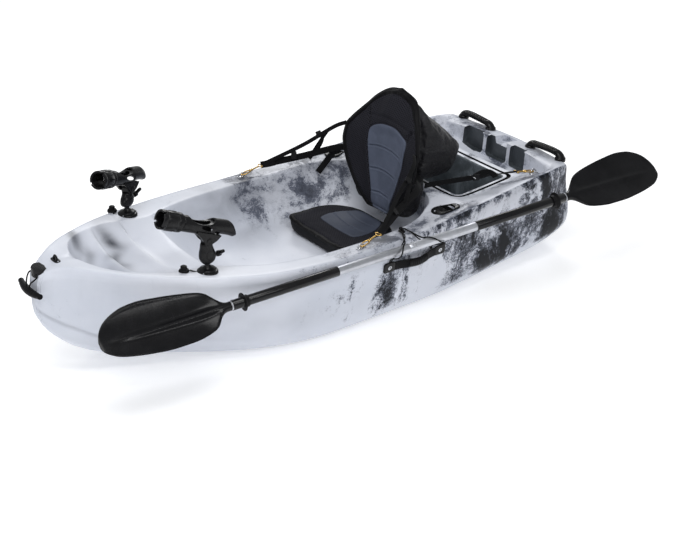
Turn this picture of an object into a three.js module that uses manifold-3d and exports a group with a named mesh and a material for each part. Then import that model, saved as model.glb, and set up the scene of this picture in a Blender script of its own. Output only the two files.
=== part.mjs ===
// Sit-on-top fishing kayak with a strap-in padded seat, a two-piece paddle held
// on the port gunwale, two ball-mounted rod holders and flush rod tubes.
// Millimetres. +X points to the bow, +Y to port, +Z up. The origin is on the
// centre plane, amidships, on the plane that the keel rests on.
import * as THREE from "three";
import { mergeVertices } from "three/addons/utils/BufferGeometryUtils.js";
import Module from "manifold-3d";

const wasm = await Module();
wasm.setup();

// ---------------------------------------------------------------- dimensions
const WALL = 4.5; // moulded hull wall
const KEEL_FLAT = 0.15; // share of the chine half-beam that is flat at z = 0
const STERN_CROWN = [15, 45]; // how far the transom corners stand forward of its middle, low and high
const CLEAR = 0.3; // gap between pieces that touch

const PADDLE_CENTRE = [-120, 435, 307.5];
const PADDLE_YAW = -4.6; // degrees, bow end towards the centre plane
const PADDLE_PITCH = -2.5; // degrees, bow end down
const PADDLE_ROLL = -40; // degrees, near edges of the blades down
const SHAFT_R = 15; // aluminium shaft
const SLEEVE_R = 16.6; // shrink sleeve over the shaft
const SLEEVE_FROM = 273; // from the paddle's middle
const SLEEVE_TO = 655;
const DRIP_RING_AT = 609;
const BLADE_FROM = 660;
const BLADE_LENGTH = 437;

const ROD_BASE = [543, 262]; // centre of each rod holder base, x and half-spacing
const ROD_BASE_R = 34;
const ROD_PIVOT_Z = { port: 463, stbd: 443 }; // tilt axis of the holder
const ROD_LEAN = { port: 0, stbd: -10 }; // how far the arm leans along the tube
const ROD_TURN = { port: -1.7, stbd: 29.3 }; // degrees from straight ahead, at rest
const ROD_TILT = { port: 23.3, stbd: 17.6 }; // degrees that the mouth points up, at rest
const KNOB_OUT = { port: -3, stbd: 10 }; // how far the clamp screw is backed out
const KNOB_TURN = { port: 35, stbd: 48 };
const COLLAR_R = 31;
const COLLAR_BORE = 24;
const COLLAR_FROM = 112; // from the tilt axis, along the tube
const COLLAR_TO = 183;

const EYELET_FRONT = [22, 364];
const EYELET_REAR = [-804, 299];
const FLUSH_HOLDER = [-374, 320];
const FLUSH_TUBE_R = 24;
const FLUSH_BORE = 20.5;
const FLUSH_DEPTH = 190;
const FLUSH_LEAN = 26; // degrees aft
const HATCH = { front: -522, aft: -748, halfFront: 207, halfAft: 199, floor: 78 };
const SEAT_HINGE = [-338, 0, 212];
const BACK_LEAN = 0.14; // how far the seat back leans aft per unit of height
const SIDE_HANDLE_X = [-74, -296]; // end plates of the webbing side handles
const SIDE_HANDLE_Z = 233;
const BUNGEE_EYE = [-161, 346];
const TOGGLE_EYE = [1010, 0, 378];

// ---------------------------------------------------------------- tables
// Monotone cubic through a list of [x, value] pairs.
function table(points) {
  const n = points.length;
  const d = [];
  for (let i = 0; i < n - 1; i++) d.push((points[i + 1][1] - points[i][1]) / (points[i + 1][0] - points[i][0]));
  const m = [d[0]];
  for (let i = 1; i < n - 1; i++) m.push(d[i - 1] * d[i] <= 0 ? 0 : (2 * d[i - 1] * d[i]) / (d[i - 1] + d[i]));
  m.push(d[n - 2]);
  return (x) => {
    if (x <= points[0][0]) return points[0][1];
    if (x >= points[n - 1][0]) return points[n - 1][1];
    let i = 0;
    while (x > points[i + 1][0]) i++;
    const h = points[i + 1][0] - points[i][0];
    const t = (x - points[i][0]) / h;
    const a = points[i][1];
    const b = points[i + 1][1];
    return (
      a * (1 + 2 * t) * (1 - t) * (1 - t) + h * m[i] * t * (1 - t) * (1 - t) + b * t * t * (3 - 2 * t) + h * m[i + 1] * t * t * (t - 1)
    );
  };
}
const smooth = (a, b, x) => {
  const t = Math.min(1, Math.max(0, (x - a) / (b - a)));
  return t * t * (3 - 2 * t);
};
const mix = (a, b, t) => a + (b - a) * t;

// Half-beam and height of the gunwale crest.
const crestW = table([
  [-1000, 319], [-900, 333], [-800, 344], [-700, 352], [-600, 361], [-500, 370], [-400, 378], [-300, 386], [-200, 391],
  [-100, 392], [0, 391.5], [100, 390], [200, 384], [300, 374], [400, 356], [500, 327], [600, 290], [700, 243], [800, 182],
  [850, 146], [900, 104], [940, 72], [970, 51], [990, 38], [1000, 30],
]);
const crestZ = table([
  [-1000, 362], [-940, 369], [-900, 370], [-800, 368], [-700, 362], [-600, 355], [-500, 348], [-400, 340], [-300, 333],
  [-200, 326], [-100, 322], [0, 321], [100, 321], [200, 324], [300, 328], [400, 335], [500, 345], [600, 359], [700, 373],
  [800, 387], [880, 399], [925, 404], [950, 403], [970, 399], [985, 393], [1000, 384],
]);
// Keel profile, and the lower chine where the bottom turns up into the side.
const keelZ = table([
  [-1000, 52], [-950, 40], [-900, 30], [-800, 14], [-700, 4], [-620, 0], [420, 0], [500, 0.5], [600, 5], [700, 14], [800, 36],
  [860, 60], [900, 84], [943, 120], [975, 155], [992, 184], [1000, 205],
]);
const chineY = table([
  [-1000, 282], [-950, 289], [-850, 297], [-750, 301], [-650, 304], [-550, 309], [-450, 315], [-350, 324], [-250, 328],
  [-50, 331], [100, 332], [200, 325], [300, 306], [400, 276], [500, 236], [600, 196], [700, 155], [800, 114], [870, 82],
  [930, 54], [970, 31], [1000, 11],
]);
const chineZ = table([
  [-1000, 88], [-950, 74], [-850, 58], [-750, 48], [-650, 38], [-550, 30], [-450, 24], [-350, 21], [100, 20], [200, 21],
  [300, 24], [400, 30], [500, 47], [600, 75], [700, 102], [800, 123], [870, 138], [930, 158], [970, 186], [1000, 226],
]);
// Inner edge of the gunwale, where the deck drops into the cockpit or well.
const innerY = table([
  [-1000, 222], [-912, 290], [-860, 292], [-826, 276], [-800, 240], [-560, 245], [-500, 242], [-478, 225], [-460, 150], [-446, 70], [-440, 66], [-430, 112],
  [-415, 160], [-395, 203], [-365, 238], [-330, 262], [-290, 288], [-250, 305], [-200, 316], [-100, 321], [0, 321],
  [100, 320], [200, 313], [300, 298], [380, 275], [440, 248], [500, 226], [544, 220], [600, 222], [650, 220], [700, 205],
  [750, 182], [800, 145], [835, 105], [858, 60], [872, 24], [885, 15], [970, 10], [1000, 3],
]);
// Height of the sole along the centre line: transom rim, tank well, hatch
// coaming, cross deck, cockpit sole, foot ledges, bow pocket and bow deck.
const soleZ = table([
  [-1000, 352], [-912, 364], [-906, 364], [-896, 280], [-860, 275], [-812, 277], [-800, 322], [-790, 322], [-540, 309],
  [-500, 312], [-462, 318], [-446, 320], [-440, 318], [-432, 178], [-415, 162], [-380, 157], [-340, 155], [-60, 155],
  [0, 150], [80, 142], [160, 140], [240, 146], [300, 160], [360, 187], [410, 222], [445, 248], [464, 262], [470, 288],
  [480, 290], [520, 285], [560, 281], [592, 286], [603, 318], [612, 318], [640, 306], [680, 299], [708, 300], [718, 326],
  [728, 326], [745, 312], [775, 302], [815, 300], [835, 318], [850, 350], [864, 382], [876, 392], [890, 395], [930, 399],
  [950, 398], [970, 395], [985, 390], [1000, 382],
]);
const bowlPower = table([
  [-1000, 3.2], [-830, 3.2], [-800, 6], [-450, 6], [-430, 7], [-300, 6], [0, 5], [200, 4.2], [350, 3.2], [450, 2.6], [550, 2.3],
  [700, 2.3], [800, 2.5], [850, 3], [1000, 3],
]);
const sideDrop = table([
  [-1000, 6], [-930, 10], [-880, 28], [-800, 36], [-700, 40], [-560, 38], [-480, 26], [-430, 12], [-380, 6], [-300, 4],
  [800, 3], [880, 0], [1000, 0],
]);
const deckCrown = table([[-1000, 0], [800, 0], [880, -3], [930, -5], [1000, -1]]);
const stemBulge = table([[150, -2], [200, 3], [245, 14], [271, 16], [311, 11], [356, 6], [371, 0], [385, -10], [400, -14]]);

// Height of the deck above the keel plane.
function deck(x, y) {
  const ay = Math.abs(y);
  const w = crestW(x);
  const zr = crestZ(x);
  const yi = innerY(x);
  const top = (a) =>
    zr + deckCrown(x) * (1 - (a / w) ** 2) - sideDrop(x) * (Math.max(0, w - a) / (w - yi)) ** 1.3;
  if (ay >= yi) return top(ay);
  const sole = soleZ(x);
  return sole + (top(yi) - sole) * (ay / yi) ** bowlPower(x);
}

// Half section of the outside, from the keel up to the crest: [y, z] pairs.
function outside(x) {
  const w = crestW(x);
  const zr = crestZ(x);
  const zk = keelZ(x);
  const yc = chineY(x);
  const zc = chineZ(x);
  const wo = w + 7 * Math.min(1, w / 60);
  const f = smooth(-1000, -860, x) * (1 - smooth(430, 700, x));
  const yk = yc + mix(3, 29, Math.min(1, yc / 200));
  const rise = Math.min(45, (zr - zc) * 0.3);
  const ykn = Math.min(yk, wo - 1);
  const zkn = zc + rise;
  const b = (t) => zk + (zc - zk) * t;
  return [
    [0, zk],
    [KEEL_FLAT * yc, zk],
    [0.24 * yc, b(0.06) + 11 * f],
    [0.42 * yc, b(0.12) + 13 * f],
    [0.54 * yc, b(0.16) + 2 * f],
    [0.9 * yc, b(0.46)],
    [yc, zc],
    [ykn, zkn],
    [mix(ykn, wo, 0.5) + 1.5, mix(zkn, zr - 38, 0.5)],
    [wo - 0.5, zr - 38],
    [wo, zr - 17],
    [mix(w, wo, 0.6), zr - 5],
  ];
}

// Half-beam of the outside at a height.
function outsideY(x, z) {
  const s = outside(x);
  for (let i = 6; i < s.length - 1; i++)
    if (z >= s[i][1] && z <= s[i + 1][1]) return mix(s[i][0], s[i + 1][0], (z - s[i][1]) / (s[i + 1][1] - s[i][1]));
  return s[s.length - 1][0];
}

// The transom is crowned and the stem swells forward.
function warp(x, y, z) {
  const stern = mix(...STERN_CROWN, smooth(150, 330, z)) * (Math.abs(y) / 300) ** 2 * (1 - smooth(-1000, -820, x));
  const bow = stemBulge(z) * smooth(860, 1000, x);
  return [x + stern + bow, y, z];
}

// ---------------------------------------------------------------- solids
function solid(geometry) {
  const g = geometry.clone();
  g.deleteAttribute("normal");
  g.deleteAttribute("uv");
  const m = mergeVertices(g, 1e-4);
  const s = new wasm.Manifold(
    new wasm.Mesh({
      numProp: 3,
      vertProperties: new Float32Array(m.attributes.position.array),
      triVerts: new Uint32Array(m.index.array),
    }),
  );
  return s;
}
function geometryOf(s) {
  const m = s.getMesh();
  const g = new THREE.BufferGeometry();
  const v = new Float32Array((m.vertProperties.length / m.numProp) * 3);
  for (let i = 0; i < v.length / 3; i++) for (let k = 0; k < 3; k++) v[3 * i + k] = m.vertProperties[m.numProp * i + k];
  g.setAttribute("position", new THREE.BufferAttribute(v, 3));
  g.setIndex(new THREE.BufferAttribute(new Uint32Array(m.triVerts), 1));
  g.computeVertexNormals();
  return g;
}

// A closed body through rings with the same number of points. The rings run
// anticlockwise when seen from the end that they advance to.
function loft(rings) {
  const n = rings[0].length;
  const pos = [];
  for (const r of rings) for (const p of r) pos.push(...p);
  const idx = [];
  for (let i = 0; i < rings.length - 1; i++)
    for (let j = 0; j < n; j++) {
      const a = i * n + j;
      const b = i * n + ((j + 1) % n);
      const c = a + n;
      const d = b + n;
      idx.push(a, b, d, a, d, c);
    }
  for (const [k, flip] of [[0, true], [rings.length - 1, false]]) {
    const c = [0, 0, 0];
    for (const p of rings[k]) for (let q = 0; q < 3; q++) c[q] += p[q] / n;
    const at = pos.length / 3;
    pos.push(...c);
    for (let j = 0; j < n; j++) {
      const a = k * n + j;
      const b = k * n + ((j + 1) % n);
      if (flip) idx.push(at, b, a);
      else idx.push(at, a, b);
    }
  }
  const g = new THREE.BufferGeometry();
  g.setAttribute("position", new THREE.BufferAttribute(new Float32Array(pos), 3));
  g.setIndex(idx);
  return g;
}

// A section swept along points, kept square to a side direction at each point.
function sweep(points, sides, section) {
  const rings = points.map((p, i) => {
    const a = new THREE.Vector3(...points[Math.max(0, i - 1)]);
    const b = new THREE.Vector3(...points[Math.min(points.length - 1, i + 1)]);
    const t = b.sub(a).normalize();
    const s = new THREE.Vector3(...(typeof sides[0] === "number" ? sides : sides[i]));
    s.addScaledVector(t, -s.dot(t)).normalize();
    const u = new THREE.Vector3().crossVectors(t, s);
    const sec = typeof section === "function" ? section(i / (points.length - 1)) : section;
    return sec.map(([q, r]) => [p[0] + s.x * q + u.x * r, p[1] + s.y * q + u.y * r, p[2] + s.z * q + u.z * r]);
  });
  return loft(rings);
}
const circle = (r, n, squash = 1) =>
  Array.from({ length: n }, (_, i) => [r * Math.cos((2 * Math.PI * i) / n), r * squash * Math.sin((2 * Math.PI * i) / n)]);
const strapSection = (w, t) => [[-w / 2, -t / 2], [w / 2, -t / 2], [w / 2, t / 2], [-w / 2, t / 2]];
function spline(points, n) {
  return new THREE.CatmullRomCurve3(points.map((p) => new THREE.Vector3(...p)), false, "centripetal")
    .getSpacedPoints(n)
    .map((p) => [p.x, p.y, p.z]);
}
const lathe = (profile, n = 24) =>
  new THREE.LatheGeometry(profile.map(([r, z]) => new THREE.Vector2(r, z)), n).rotateX(Math.PI / 2);
const block = (x, y, z, cx = 0, cy = 0, cz = 0) => new THREE.BoxGeometry(x, y, z).translate(cx, cy, cz);
function roundedRect(w, h, r, n = 3) {
  const s = new THREE.Shape();
  s.moveTo(-w / 2 + r, -h / 2);
  s.lineTo(w / 2 - r, -h / 2);
  s.absarc(w / 2 - r, -h / 2 + r, r, -Math.PI / 2, 0);
  s.lineTo(w / 2, h / 2 - r);
  s.absarc(w / 2 - r, h / 2 - r, r, 0, Math.PI / 2);
  s.lineTo(-w / 2 + r, h / 2);
  s.absarc(-w / 2 + r, h / 2 - r, r, Math.PI / 2, Math.PI);
  s.lineTo(-w / 2, -h / 2 + r);
  s.absarc(-w / 2 + r, -h / 2 + r, r, Math.PI, 1.5 * Math.PI);
  s.curveSegmentsHint = n;
  return s;
}
const extrude = (shape, depth, curveSegments = 4) =>
  new THREE.ExtrudeGeometry(shape, { depth, bevelEnabled: false, curveSegments });

const kayak = new THREE.Group();
const materials = {
  hull: { color: 0xdfe2e8, roughness: 0.45, metalness: 0 },
  black: { color: 0x141416, roughness: 0.45, metalness: 0 },
  rubber: { color: 0x101012, roughness: 0.7, metalness: 0 },
  steel: { color: 0xc9cbd0, roughness: 0.25, metalness: 1 },
  brass: { color: 0xb98a3a, roughness: 0.3, metalness: 1 },
  alu: { color: 0xc4c6cc, roughness: 0.3, metalness: 1 },
  fabric: { color: 0x17181b, roughness: 0.9, metalness: 0 },
  cord: { color: 0x111113, roughness: 0.85, metalness: 0 },
};
function add(name, shape, finish, place) {
  const geometry = shape.isBufferGeometry ? shape : geometryOf(shape);
  const mesh = new THREE.Mesh(geometry, new THREE.MeshStandardMaterial(materials[finish]));
  mesh.name = name;
  if (place) place(mesh);
  kayak.add(mesh);
  return mesh;
}

// ---------------------------------------------------------------- hull
const STATIONS = [
  -1000, -965, -904, -896, -862, -830, -812, -800, -700, -560, -488, -458, -438, -431, -418, -398, -370, -325, -270, -200, -90,
  20, 120, 210, 290, 365, 425, 463, 470, 490, 545, 593, 603, 625, 708, 718, 742, 800, 832, 849, 862, 876, 905, 940, 972, 1000,
];
const INNER = [0.975, 0.915, 0.82, 0.67, 0.42];
function ring(x, shrink = 0, cap = 0) {
  const half = outside(x).slice();
  const w = crestW(x);
  const yi = innerY(x);
  const edge = [w, w - 0.5 * (w - yi), yi + 0.03 * (w - yi), ...INNER.map((t) => t * yi), 0];
  for (const y of edge) half.push([y, deck(x, y)]);
  const zs = half.map((p) => p[1]);
  const zm = (Math.min(...zs) + Math.max(...zs)) / 2;
  const port = half.map(([y, z]) => {
    const k = shrink ? Math.max(0, 1 - shrink / Math.max(30, Math.hypot(y, z - zm))) : 1;
    return [y * k, zm + (z - zm) * k];
  });
  const full = [...port, ...port.slice(1, -1).reverse().map(([y, z]) => [-y, z])];
  return full.map(([y, z]) => {
    const p = warp(x, y, z);
    return [p[0] - cap, p[1], p[2]];
  });
}
const hullRings = [ring(-1000, 16, 4), ring(-1000, 4, 0), ...STATIONS.slice(1).map((x) => ring(x)), ring(1000, 5, -2)];
let shell = solid(loft(hullRings));

// The cavity follows the shell at least a wall inside it. Each of its sections
// takes the lowest deck and the smallest beam up to the neighbouring sections.
const CAVITY_STATIONS = [
  -970, -915, -899, -850, -810, -790, -660, -500, -458, -444, -400, -340, -240, -80, 80, 220, 330, 420, 480, 600, 700, 790, 850, 890,
  950,
];
const CAVITY_SPANS = [1, 0.94, 0.78, 0.5, 0];
function cavityRing(x, k) {
  const from = k > 0 ? CAVITY_STATIONS[k - 1] : x;
  const to = k < CAVITY_STATIONS.length - 1 ? CAVITY_STATIONS[k + 1] : x;
  const near = Array.from({ length: 13 }, (_, i) => mix(from, to, i / 12));
  const least = (f) => Math.min(...near.map(f));
  const most = (f) => Math.max(...near.map(f));
  const yc = least(chineY);
  const floor = most((t) => Math.max(...outside(t).slice(0, 5).map((p) => p[1]))) + WALL;
  const yk = least((t) => outside(t)[7][0]) - WALL - 1;
  const zkn = most((t) => outside(t)[7][1]) + 2;
  const w = least(crestW) - WALL - 4;
  const out = Math.max(4, w);
  const zTop = (y0, y1) => least((t) => Math.min(deck(t, y0), deck(t, (y0 + y1) / 2), deck(t, y1))) - WALL - 1;
  const yi = Math.min(most(innerY) + 5, out - 6);
  const half = [[0, floor], [0.55 * yc, floor], [Math.max(3, yc - 12), Math.max(floor, most(chineZ) + WALL)], [Math.max(3.5, yk - 2), zkn]];
  const side = least((t) => outside(t)[8][0]) - WALL - 2;
  const zs = mix(zkn, least(crestZ), 0.5);
  half.push([Math.max(4, side), zs]);
  const tops = [[out, zTop(out + 4, out - 10) - 12], ...CAVITY_SPANS.map((s, i) => {
    const y = s * yi;
    const y0 = i ? (y + CAVITY_SPANS[i - 1] * yi) / 2 : y + 6;
    const y1 = i < 4 ? (y + CAVITY_SPANS[i + 1] * yi) / 2 : 0;
    return [y, zTop(i ? CAVITY_SPANS[i - 1] * yi : y0, y1)];
  })];
  half.push(...tops);
  for (let i = 1; i < half.length - 1; i++) half[i][0] = Math.max(half[i][0], 1);
  for (let i = 5; i < half.length; i++) half[i][1] = Math.max(half[i][1], floor + 6);
  half[4][1] = Math.min(half[4][1], half[5][1] - 2);
  const full = [...half, ...half.slice(1, -1).reverse().map(([y, z]) => [-y, z])];
  return full.map(([y, z]) => warp(x, y, z));
}
let cavity = solid(loft(CAVITY_STATIONS.map(cavityRing)));

// Hatch well with a drawn-in floor, and the gasket groove round its coaming.
function trapezoid(grow, z, draft = 0) {
  const { front, aft, halfFront, halfAft } = HATCH;
  const f = front + grow - draft;
  const a = aft - grow + draft;
  const hf = halfFront + grow - draft;
  const ha = halfAft + grow - draft;
  const r = 16 + grow * 0.6;
  const corners = [[f, -hf, -90], [f, hf, 0], [a, ha, 90], [a, -ha, 180]];
  const out = [];
  for (const [cx, cy, start] of corners)
    for (let i = 0; i <= 3; i++) {
      const t = ((start + 30 * i) * Math.PI) / 180;
      const sx = cx > (f + a) / 2 ? -1 : 1;
      const sy = cy > 0 ? -1 : 1;
      out.push([cx + sx * r + r * Math.cos(t), cy + sy * r + r * Math.sin(t), z]);
    }
  return out;
}
const well = solid(loft([trapezoid(0, HATCH.floor, 14), trapezoid(0, 390)]));
const wellWall = solid(loft([trapezoid(WALL + 1, HATCH.floor - WALL - 1, 12), trapezoid(WALL + 1, 390)]));
const coamingTop = (x) => mix(309, 322, (x + 540) / (-790 + 540));
function tilted(rect, z) {
  return rect.map(([x, y]) => [x, y, coamingTop(x) + z]);
}
const groove = solid(loft([tilted(trapezoid(27, 0), -7), tilted(trapezoid(27, 0), 60)])).subtract(
  solid(loft([tilted(trapezoid(20, 0), -9), tilted(trapezoid(20, 0), 62)])),
);
// Transom: pour notch in the rim and three recessed panels on the inner face.
const notch = solid(loft([
  [[-888, -30, 338], [-888, 30, 338], [-968, 30, 338], [-968, -30, 338]],
  [[-888, -46, 400], [-888, 46, 400], [-972, 46, 400], [-972, -46, 400]],
]));
const PANELS = [[-184, -90], [-62, 43], [69, 146]];
const panelCut = (a, b, g) =>
  solid(extrude(roundedRect(b - a + 2 * g, 70 + 2 * g, 12 + g), 30 + g)
    .rotateY(-Math.PI / 2).rotateX(Math.PI / 2).translate(-888, (a + b) / 2, 322));
let panels = null;
let panelWalls = null;
for (const [a, b] of PANELS) {
  const p = panelCut(a, b, 0);
  const q = panelCut(a, b, WALL + 1);
  panels = panels ? panels.add(p) : p;
  panelWalls = panelWalls ? panelWalls.add(q) : q;
}
// Flush rod tubes lean aft above the deck, so they run forward below it.
const flushZ = deck(...FLUSH_HOLDER);
const placeFlush = (side) => (g) =>
  g.rotateY(THREE.MathUtils.degToRad(-FLUSH_LEAN)).rotateX(THREE.MathUtils.degToRad(side * -5)).translate(FLUSH_HOLDER[0], side * FLUSH_HOLDER[1], flushZ);
const tubeHole = (side) =>
  solid(placeFlush(side)(lathe([[0, -FLUSH_DEPTH - 3], [FLUSH_TUBE_R + 1.2, -FLUSH_DEPTH - 3], [FLUSH_TUBE_R + 1.2, 60], [0, 60]], 14)));
// Drain in the transom, low down on the centre line.
const DRAIN = [-1000, 0, 96];
const drainHole = solid(new THREE.CylinderGeometry(9, 9, 60, 12).rotateZ(Math.PI / 2).translate(DRAIN[0], DRAIN[1], DRAIN[2]));
const notchWall = solid(loft([
  [[-880, -38, 330], [-880, 38, 330], [-976, 38, 330], [-976, -38, 330]],
  [[-880, -54, 410], [-880, 54, 410], [-980, 54, 410], [-980, -54, 410]],
]));
cavity = cavity.subtract(wellWall).subtract(panelWalls).subtract(notchWall);
const outer = shell.subtract(well).subtract(groove).subtract(notch).subtract(panels);
add("hull", outer.subtract(tubeHole(1)).subtract(tubeHole(-1)).subtract(drainHole).subtract(cavity), "hull");

// The hull's surface moved off by a gap, for cutting the feet of what stands on it.
const moved = (dx, dy, dz) => solid(geometryOf(outer).translate(dx, dy, dz));
const above = moved(0, 0, CLEAR + 0.1);
const beside = { 1: moved(0, CLEAR + 0.1, 0), [-1]: moved(0, -CLEAR - 0.1, 0) };
const SIDES = [["port", 1], ["stbd", -1]];

// ---------------------------------------------------------------- deck fittings
// Drain plug with a slotted head.
add(
  "drain_plug",
  solid(lathe([[0, 0], [7.6, 0], [7.6, 14], [13, 14.4], [13, 18], [10.5, 21], [0, 21]], 14).rotateY(-Math.PI / 2).translate(-1004 + 18 - 4, 0, DRAIN[2]))
    .subtract(solid(block(6, 22, 3, -1011, 0, DRAIN[2]))),
  "black",
);

for (const [name, side] of SIDES) {
  // Flush rod holder: a closed tube under a pear-shaped flange.
  const flange = new THREE.Shape();
  for (let i = 0; i <= 8; i++) {
    const t = -Math.PI / 2 - 0.22 + ((Math.PI + 0.44) * i) / 8;
    if (i) flange.lineTo(21 + 32 * Math.cos(t), 32 * Math.sin(t));
    else flange.moveTo(21 + 32 * Math.cos(t), 32 * Math.sin(t));
  }
  for (let i = 0; i <= 4; i++) {
    const t = Math.PI / 2 + 0.22 + ((Math.PI - 0.44) * i) / 4;
    flange.lineTo(-33 + 21 * Math.cos(t), 21 * Math.sin(t));
  }
  const plate = solid(extrude(flange, 16).translate(0, 0, -10).rotateZ(side * -0.19).translate(FLUSH_HOLDER[0], side * FLUSH_HOLDER[1], flushZ)).subtract(above);
  const tube = solid(placeFlush(side)(lathe([[0, -FLUSH_DEPTH], [FLUSH_TUBE_R, -FLUSH_DEPTH], [FLUSH_TUBE_R, 10], [0, 10]], 14)));
  const bore = solid(placeFlush(side)(lathe([[0, -FLUSH_DEPTH + 4], [FLUSH_BORE, -FLUSH_DEPTH + 4], [FLUSH_BORE, 60], [0, 60]], 14)));
  const trim = solid(block(200, 200, 80, FLUSH_HOLDER[0], side * FLUSH_HOLDER[1], flushZ + 46));
  add(`flush_rod_holder_${name}`, plate.add(tube.subtract(trim)).subtract(bore), "black");

  // Stern carry handle: a grip on two feet.
  const grip = (t) => {
    const k = 1 + 0.25 * Math.abs(t * 2 - 1) ** 3;
    return circle(1, 7).map(([a, b]) => [a * 12.5 * k, b * 8.5]);
  };
  const hx = -961;
  const hy = (y) => side * y;
  const hz = deck(hx, 110) - 4;
  const hz2 = deck(hx, 275) - 4;
  const path = spline([[hx, hy(112), hz], [hx, hy(113), hz + 16], [hx, hy(126), hz + 29], [hx, hy(160), hz + 34], [hx, hy(225), hz2 + 34], [hx, hy(259), hz2 + 29], [hx, hy(271), hz2 + 16], [hx, hy(272), hz2]], 10);
  let handle = solid(sweep(path, [1, 0, 0], grip));
  for (const [y, z] of [[112, hz], [271, hz2]])
    handle = handle.add(solid(lathe([[0, -4], [19, -4], [19, 7], [14, 12], [0, 12]], 8).translate(hx, hy(y), z + 4)));
  add(`stern_handle_${name}`, handle.subtract(above), "black");

  // Webbing side handle between two screwed end plates.
  const [xa, xb] = SIDE_HANDLE_X;
  const yAt = (x, z) => outsideY(x, z);
  const leanAt = (x) => Math.atan2(yAt(x, SIDE_HANDLE_Z + 15) - yAt(x, SIDE_HANDLE_Z - 15), 30);
  for (const [tag, x] of [["fore", xa], ["aft", xb]]) {
    const y = side * yAt(x, SIDE_HANDLE_Z);
    const lean = leanAt(x);
    const shape = extrude(roundedRect(46, 38, 8, 2), 14, 2).translate(0, 0, -7).rotateX(-Math.PI / 2);
    if (side < 0) shape.rotateX(Math.PI);
    shape.rotateX(-side * lean).translate(x, y, SIDE_HANDLE_Z);
    add(`side_handle_plate_${tag}_${name}`, solid(shape).subtract(beside[side]), "black");
  }
  const mid = (xa + xb) / 2;
  const out = (x, d) => side * (yAt(x, SIDE_HANDLE_Z) + d);
  const strapPath = spline([[xa - 24, out(xa - 24, 5), SIDE_HANDLE_Z], [xa - 45, out(xa - 45, 8.5), SIDE_HANDLE_Z], [mid, out(mid, 24), SIDE_HANDLE_Z - 1], [xb + 45, out(xb + 45, 8.5), SIDE_HANDLE_Z], [xb + 24, out(xb + 24, 5), SIDE_HANDLE_Z]], 7);
  const gripPath = strapPath.slice(2, 6);
  const upHull = [0, side * Math.sin(leanAt(mid)), Math.cos(leanAt(mid))];
  const handleStrap = solid(sweep(strapPath, upHull, strapSection(34, 3.4))).add(solid(sweep(gripPath, upHull, circle(1, 8).map(([a, b]) => [a * 14, b * 9.5]))));
  add(`side_handle_${name}`, handleStrap, "rubber");
}

// Stainless loops: a plate with a bail standing on it.
function loopPlate(x, y, turn, wide = 38, deep = 15, rise = 15, wire = 2.5) {
  const z = deck(x, y);
  const sx = deck(x + 12, y) - deck(x - 12, y);
  const sy = deck(x, y + 8) - deck(x, y - 8);
  const place = (g) => g.rotateZ(turn).rotateY(-Math.atan2(sx, 24)).rotateX(Math.atan2(sy, 16)).translate(x, y, z);
  const plate = solid(place(extrude(roundedRect(wide, deep, deep * 0.4, 1), 8, 2).translate(0, 0, -5.5)));
  const arc = Array.from({ length: 7 }, (_, i) => {
    const t = Math.PI * (1.12 - (1.24 * i) / 6);
    return [11 * Math.cos(t), 0, 4 + (rise - 4) * Math.max(-0.4, Math.sin(t))];
  });
  const bail = solid(place(sweep(arc, [0, 1, 0], circle(wire, 5))));
  return plate.add(bail).subtract(above);
}
for (const [name, side] of SIDES) {
  add(`seat_eyelet_fore_${name}`, loopPlate(EYELET_FRONT[0], side * EYELET_FRONT[1], 0), "steel");
  add(`seat_eyelet_aft_${name}`, loopPlate(EYELET_REAR[0], side * EYELET_REAR[1], 0), "steel");
}
add("bow_deck_eye", loopPlate(931, 4, Math.PI / 2, 44, 20, 16, 3.4), "black");

// Bungee eye on the port rim, its hole facing fore and aft.
add("bungee_eye", loopPlate(BUNGEE_EYE[0], BUNGEE_EYE[1], Math.PI / 2, 30, 16, 15, 2.6), "black");

// ---------------------------------------------------------------- bow toggle
const stem = moved(CLEAR + 0.2, 0, 0);
{
  const [x, y, z] = TOGGLE_EYE;
  const saddle = new THREE.Shape();
  for (const [i, [u, v]] of [[-46, -24], [-22, -31], [-13, -26], [-4, -15], [0, -8], [0, 8], [-4, 15], [-13, 26], [-22, 31], [-46, 24]].entries()) {
    if (i) saddle.lineTo(u, v);
    else saddle.moveTo(u, v);
  }
  const eye = solid(extrude(saddle, 28).translate(x, y, z - 14))
    .subtract(solid(new THREE.CylinderGeometry(4.2, 4.2, 80, 10).translate(x - 7, y, z - 5)))
    .subtract(stem)
    .subtract(above);
  add("bow_toggle_eye", eye, "black");
  const ex = x - 7;
  const gx = x + 19;
  const gz = z - 56;
  const hole = z - 5;
  const cord = sweep(
    spline([[gx, -9, gz + 13.6], [gx - 3, -13, gz + 26], [ex + 15, -22, hole - 13], [ex + 5, -27, hole - 3], [ex, -21, hole + 0.2], [ex, 0, hole + 0.2], [ex, 21, hole + 0.2], [ex + 5, 27, hole - 3], [ex + 15, 22, hole - 13], [gx - 3, 13, gz + 26], [gx, 9, gz + 13.6]], 18),
    [1, 0, 0],
    circle(2.4, 5),
  );
  add("bow_toggle_cord", cord, "cord");
  add(
    "bow_toggle_grip",
    lathe([[0, -74], [7.5, -74], [7.5, -58], [12.2, -48], [12.8, 0], [12.2, 48], [7.5, 58], [7.5, 74], [0, 74]], 12)
      .rotateX(Math.PI / 2)
      .translate(gx, 0, gz),
    "rubber",
  );
}

// ---------------------------------------------------------------- paddle
const paddle = new THREE.Group();
paddle.position.set(...PADDLE_CENTRE);
paddle.rotation.set(THREE.MathUtils.degToRad(PADDLE_ROLL), THREE.MathUtils.degToRad(-PADDLE_PITCH), THREE.MathUtils.degToRad(PADDLE_YAW), "ZYX");
kayak.add(paddle);
function addTo(group, name, shape, finish) {
  const mesh = add(name, shape, finish);
  kayak.remove(mesh);
  group.add(mesh);
}
const alongX = (g) => g.rotateY(Math.PI / 2);
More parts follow.
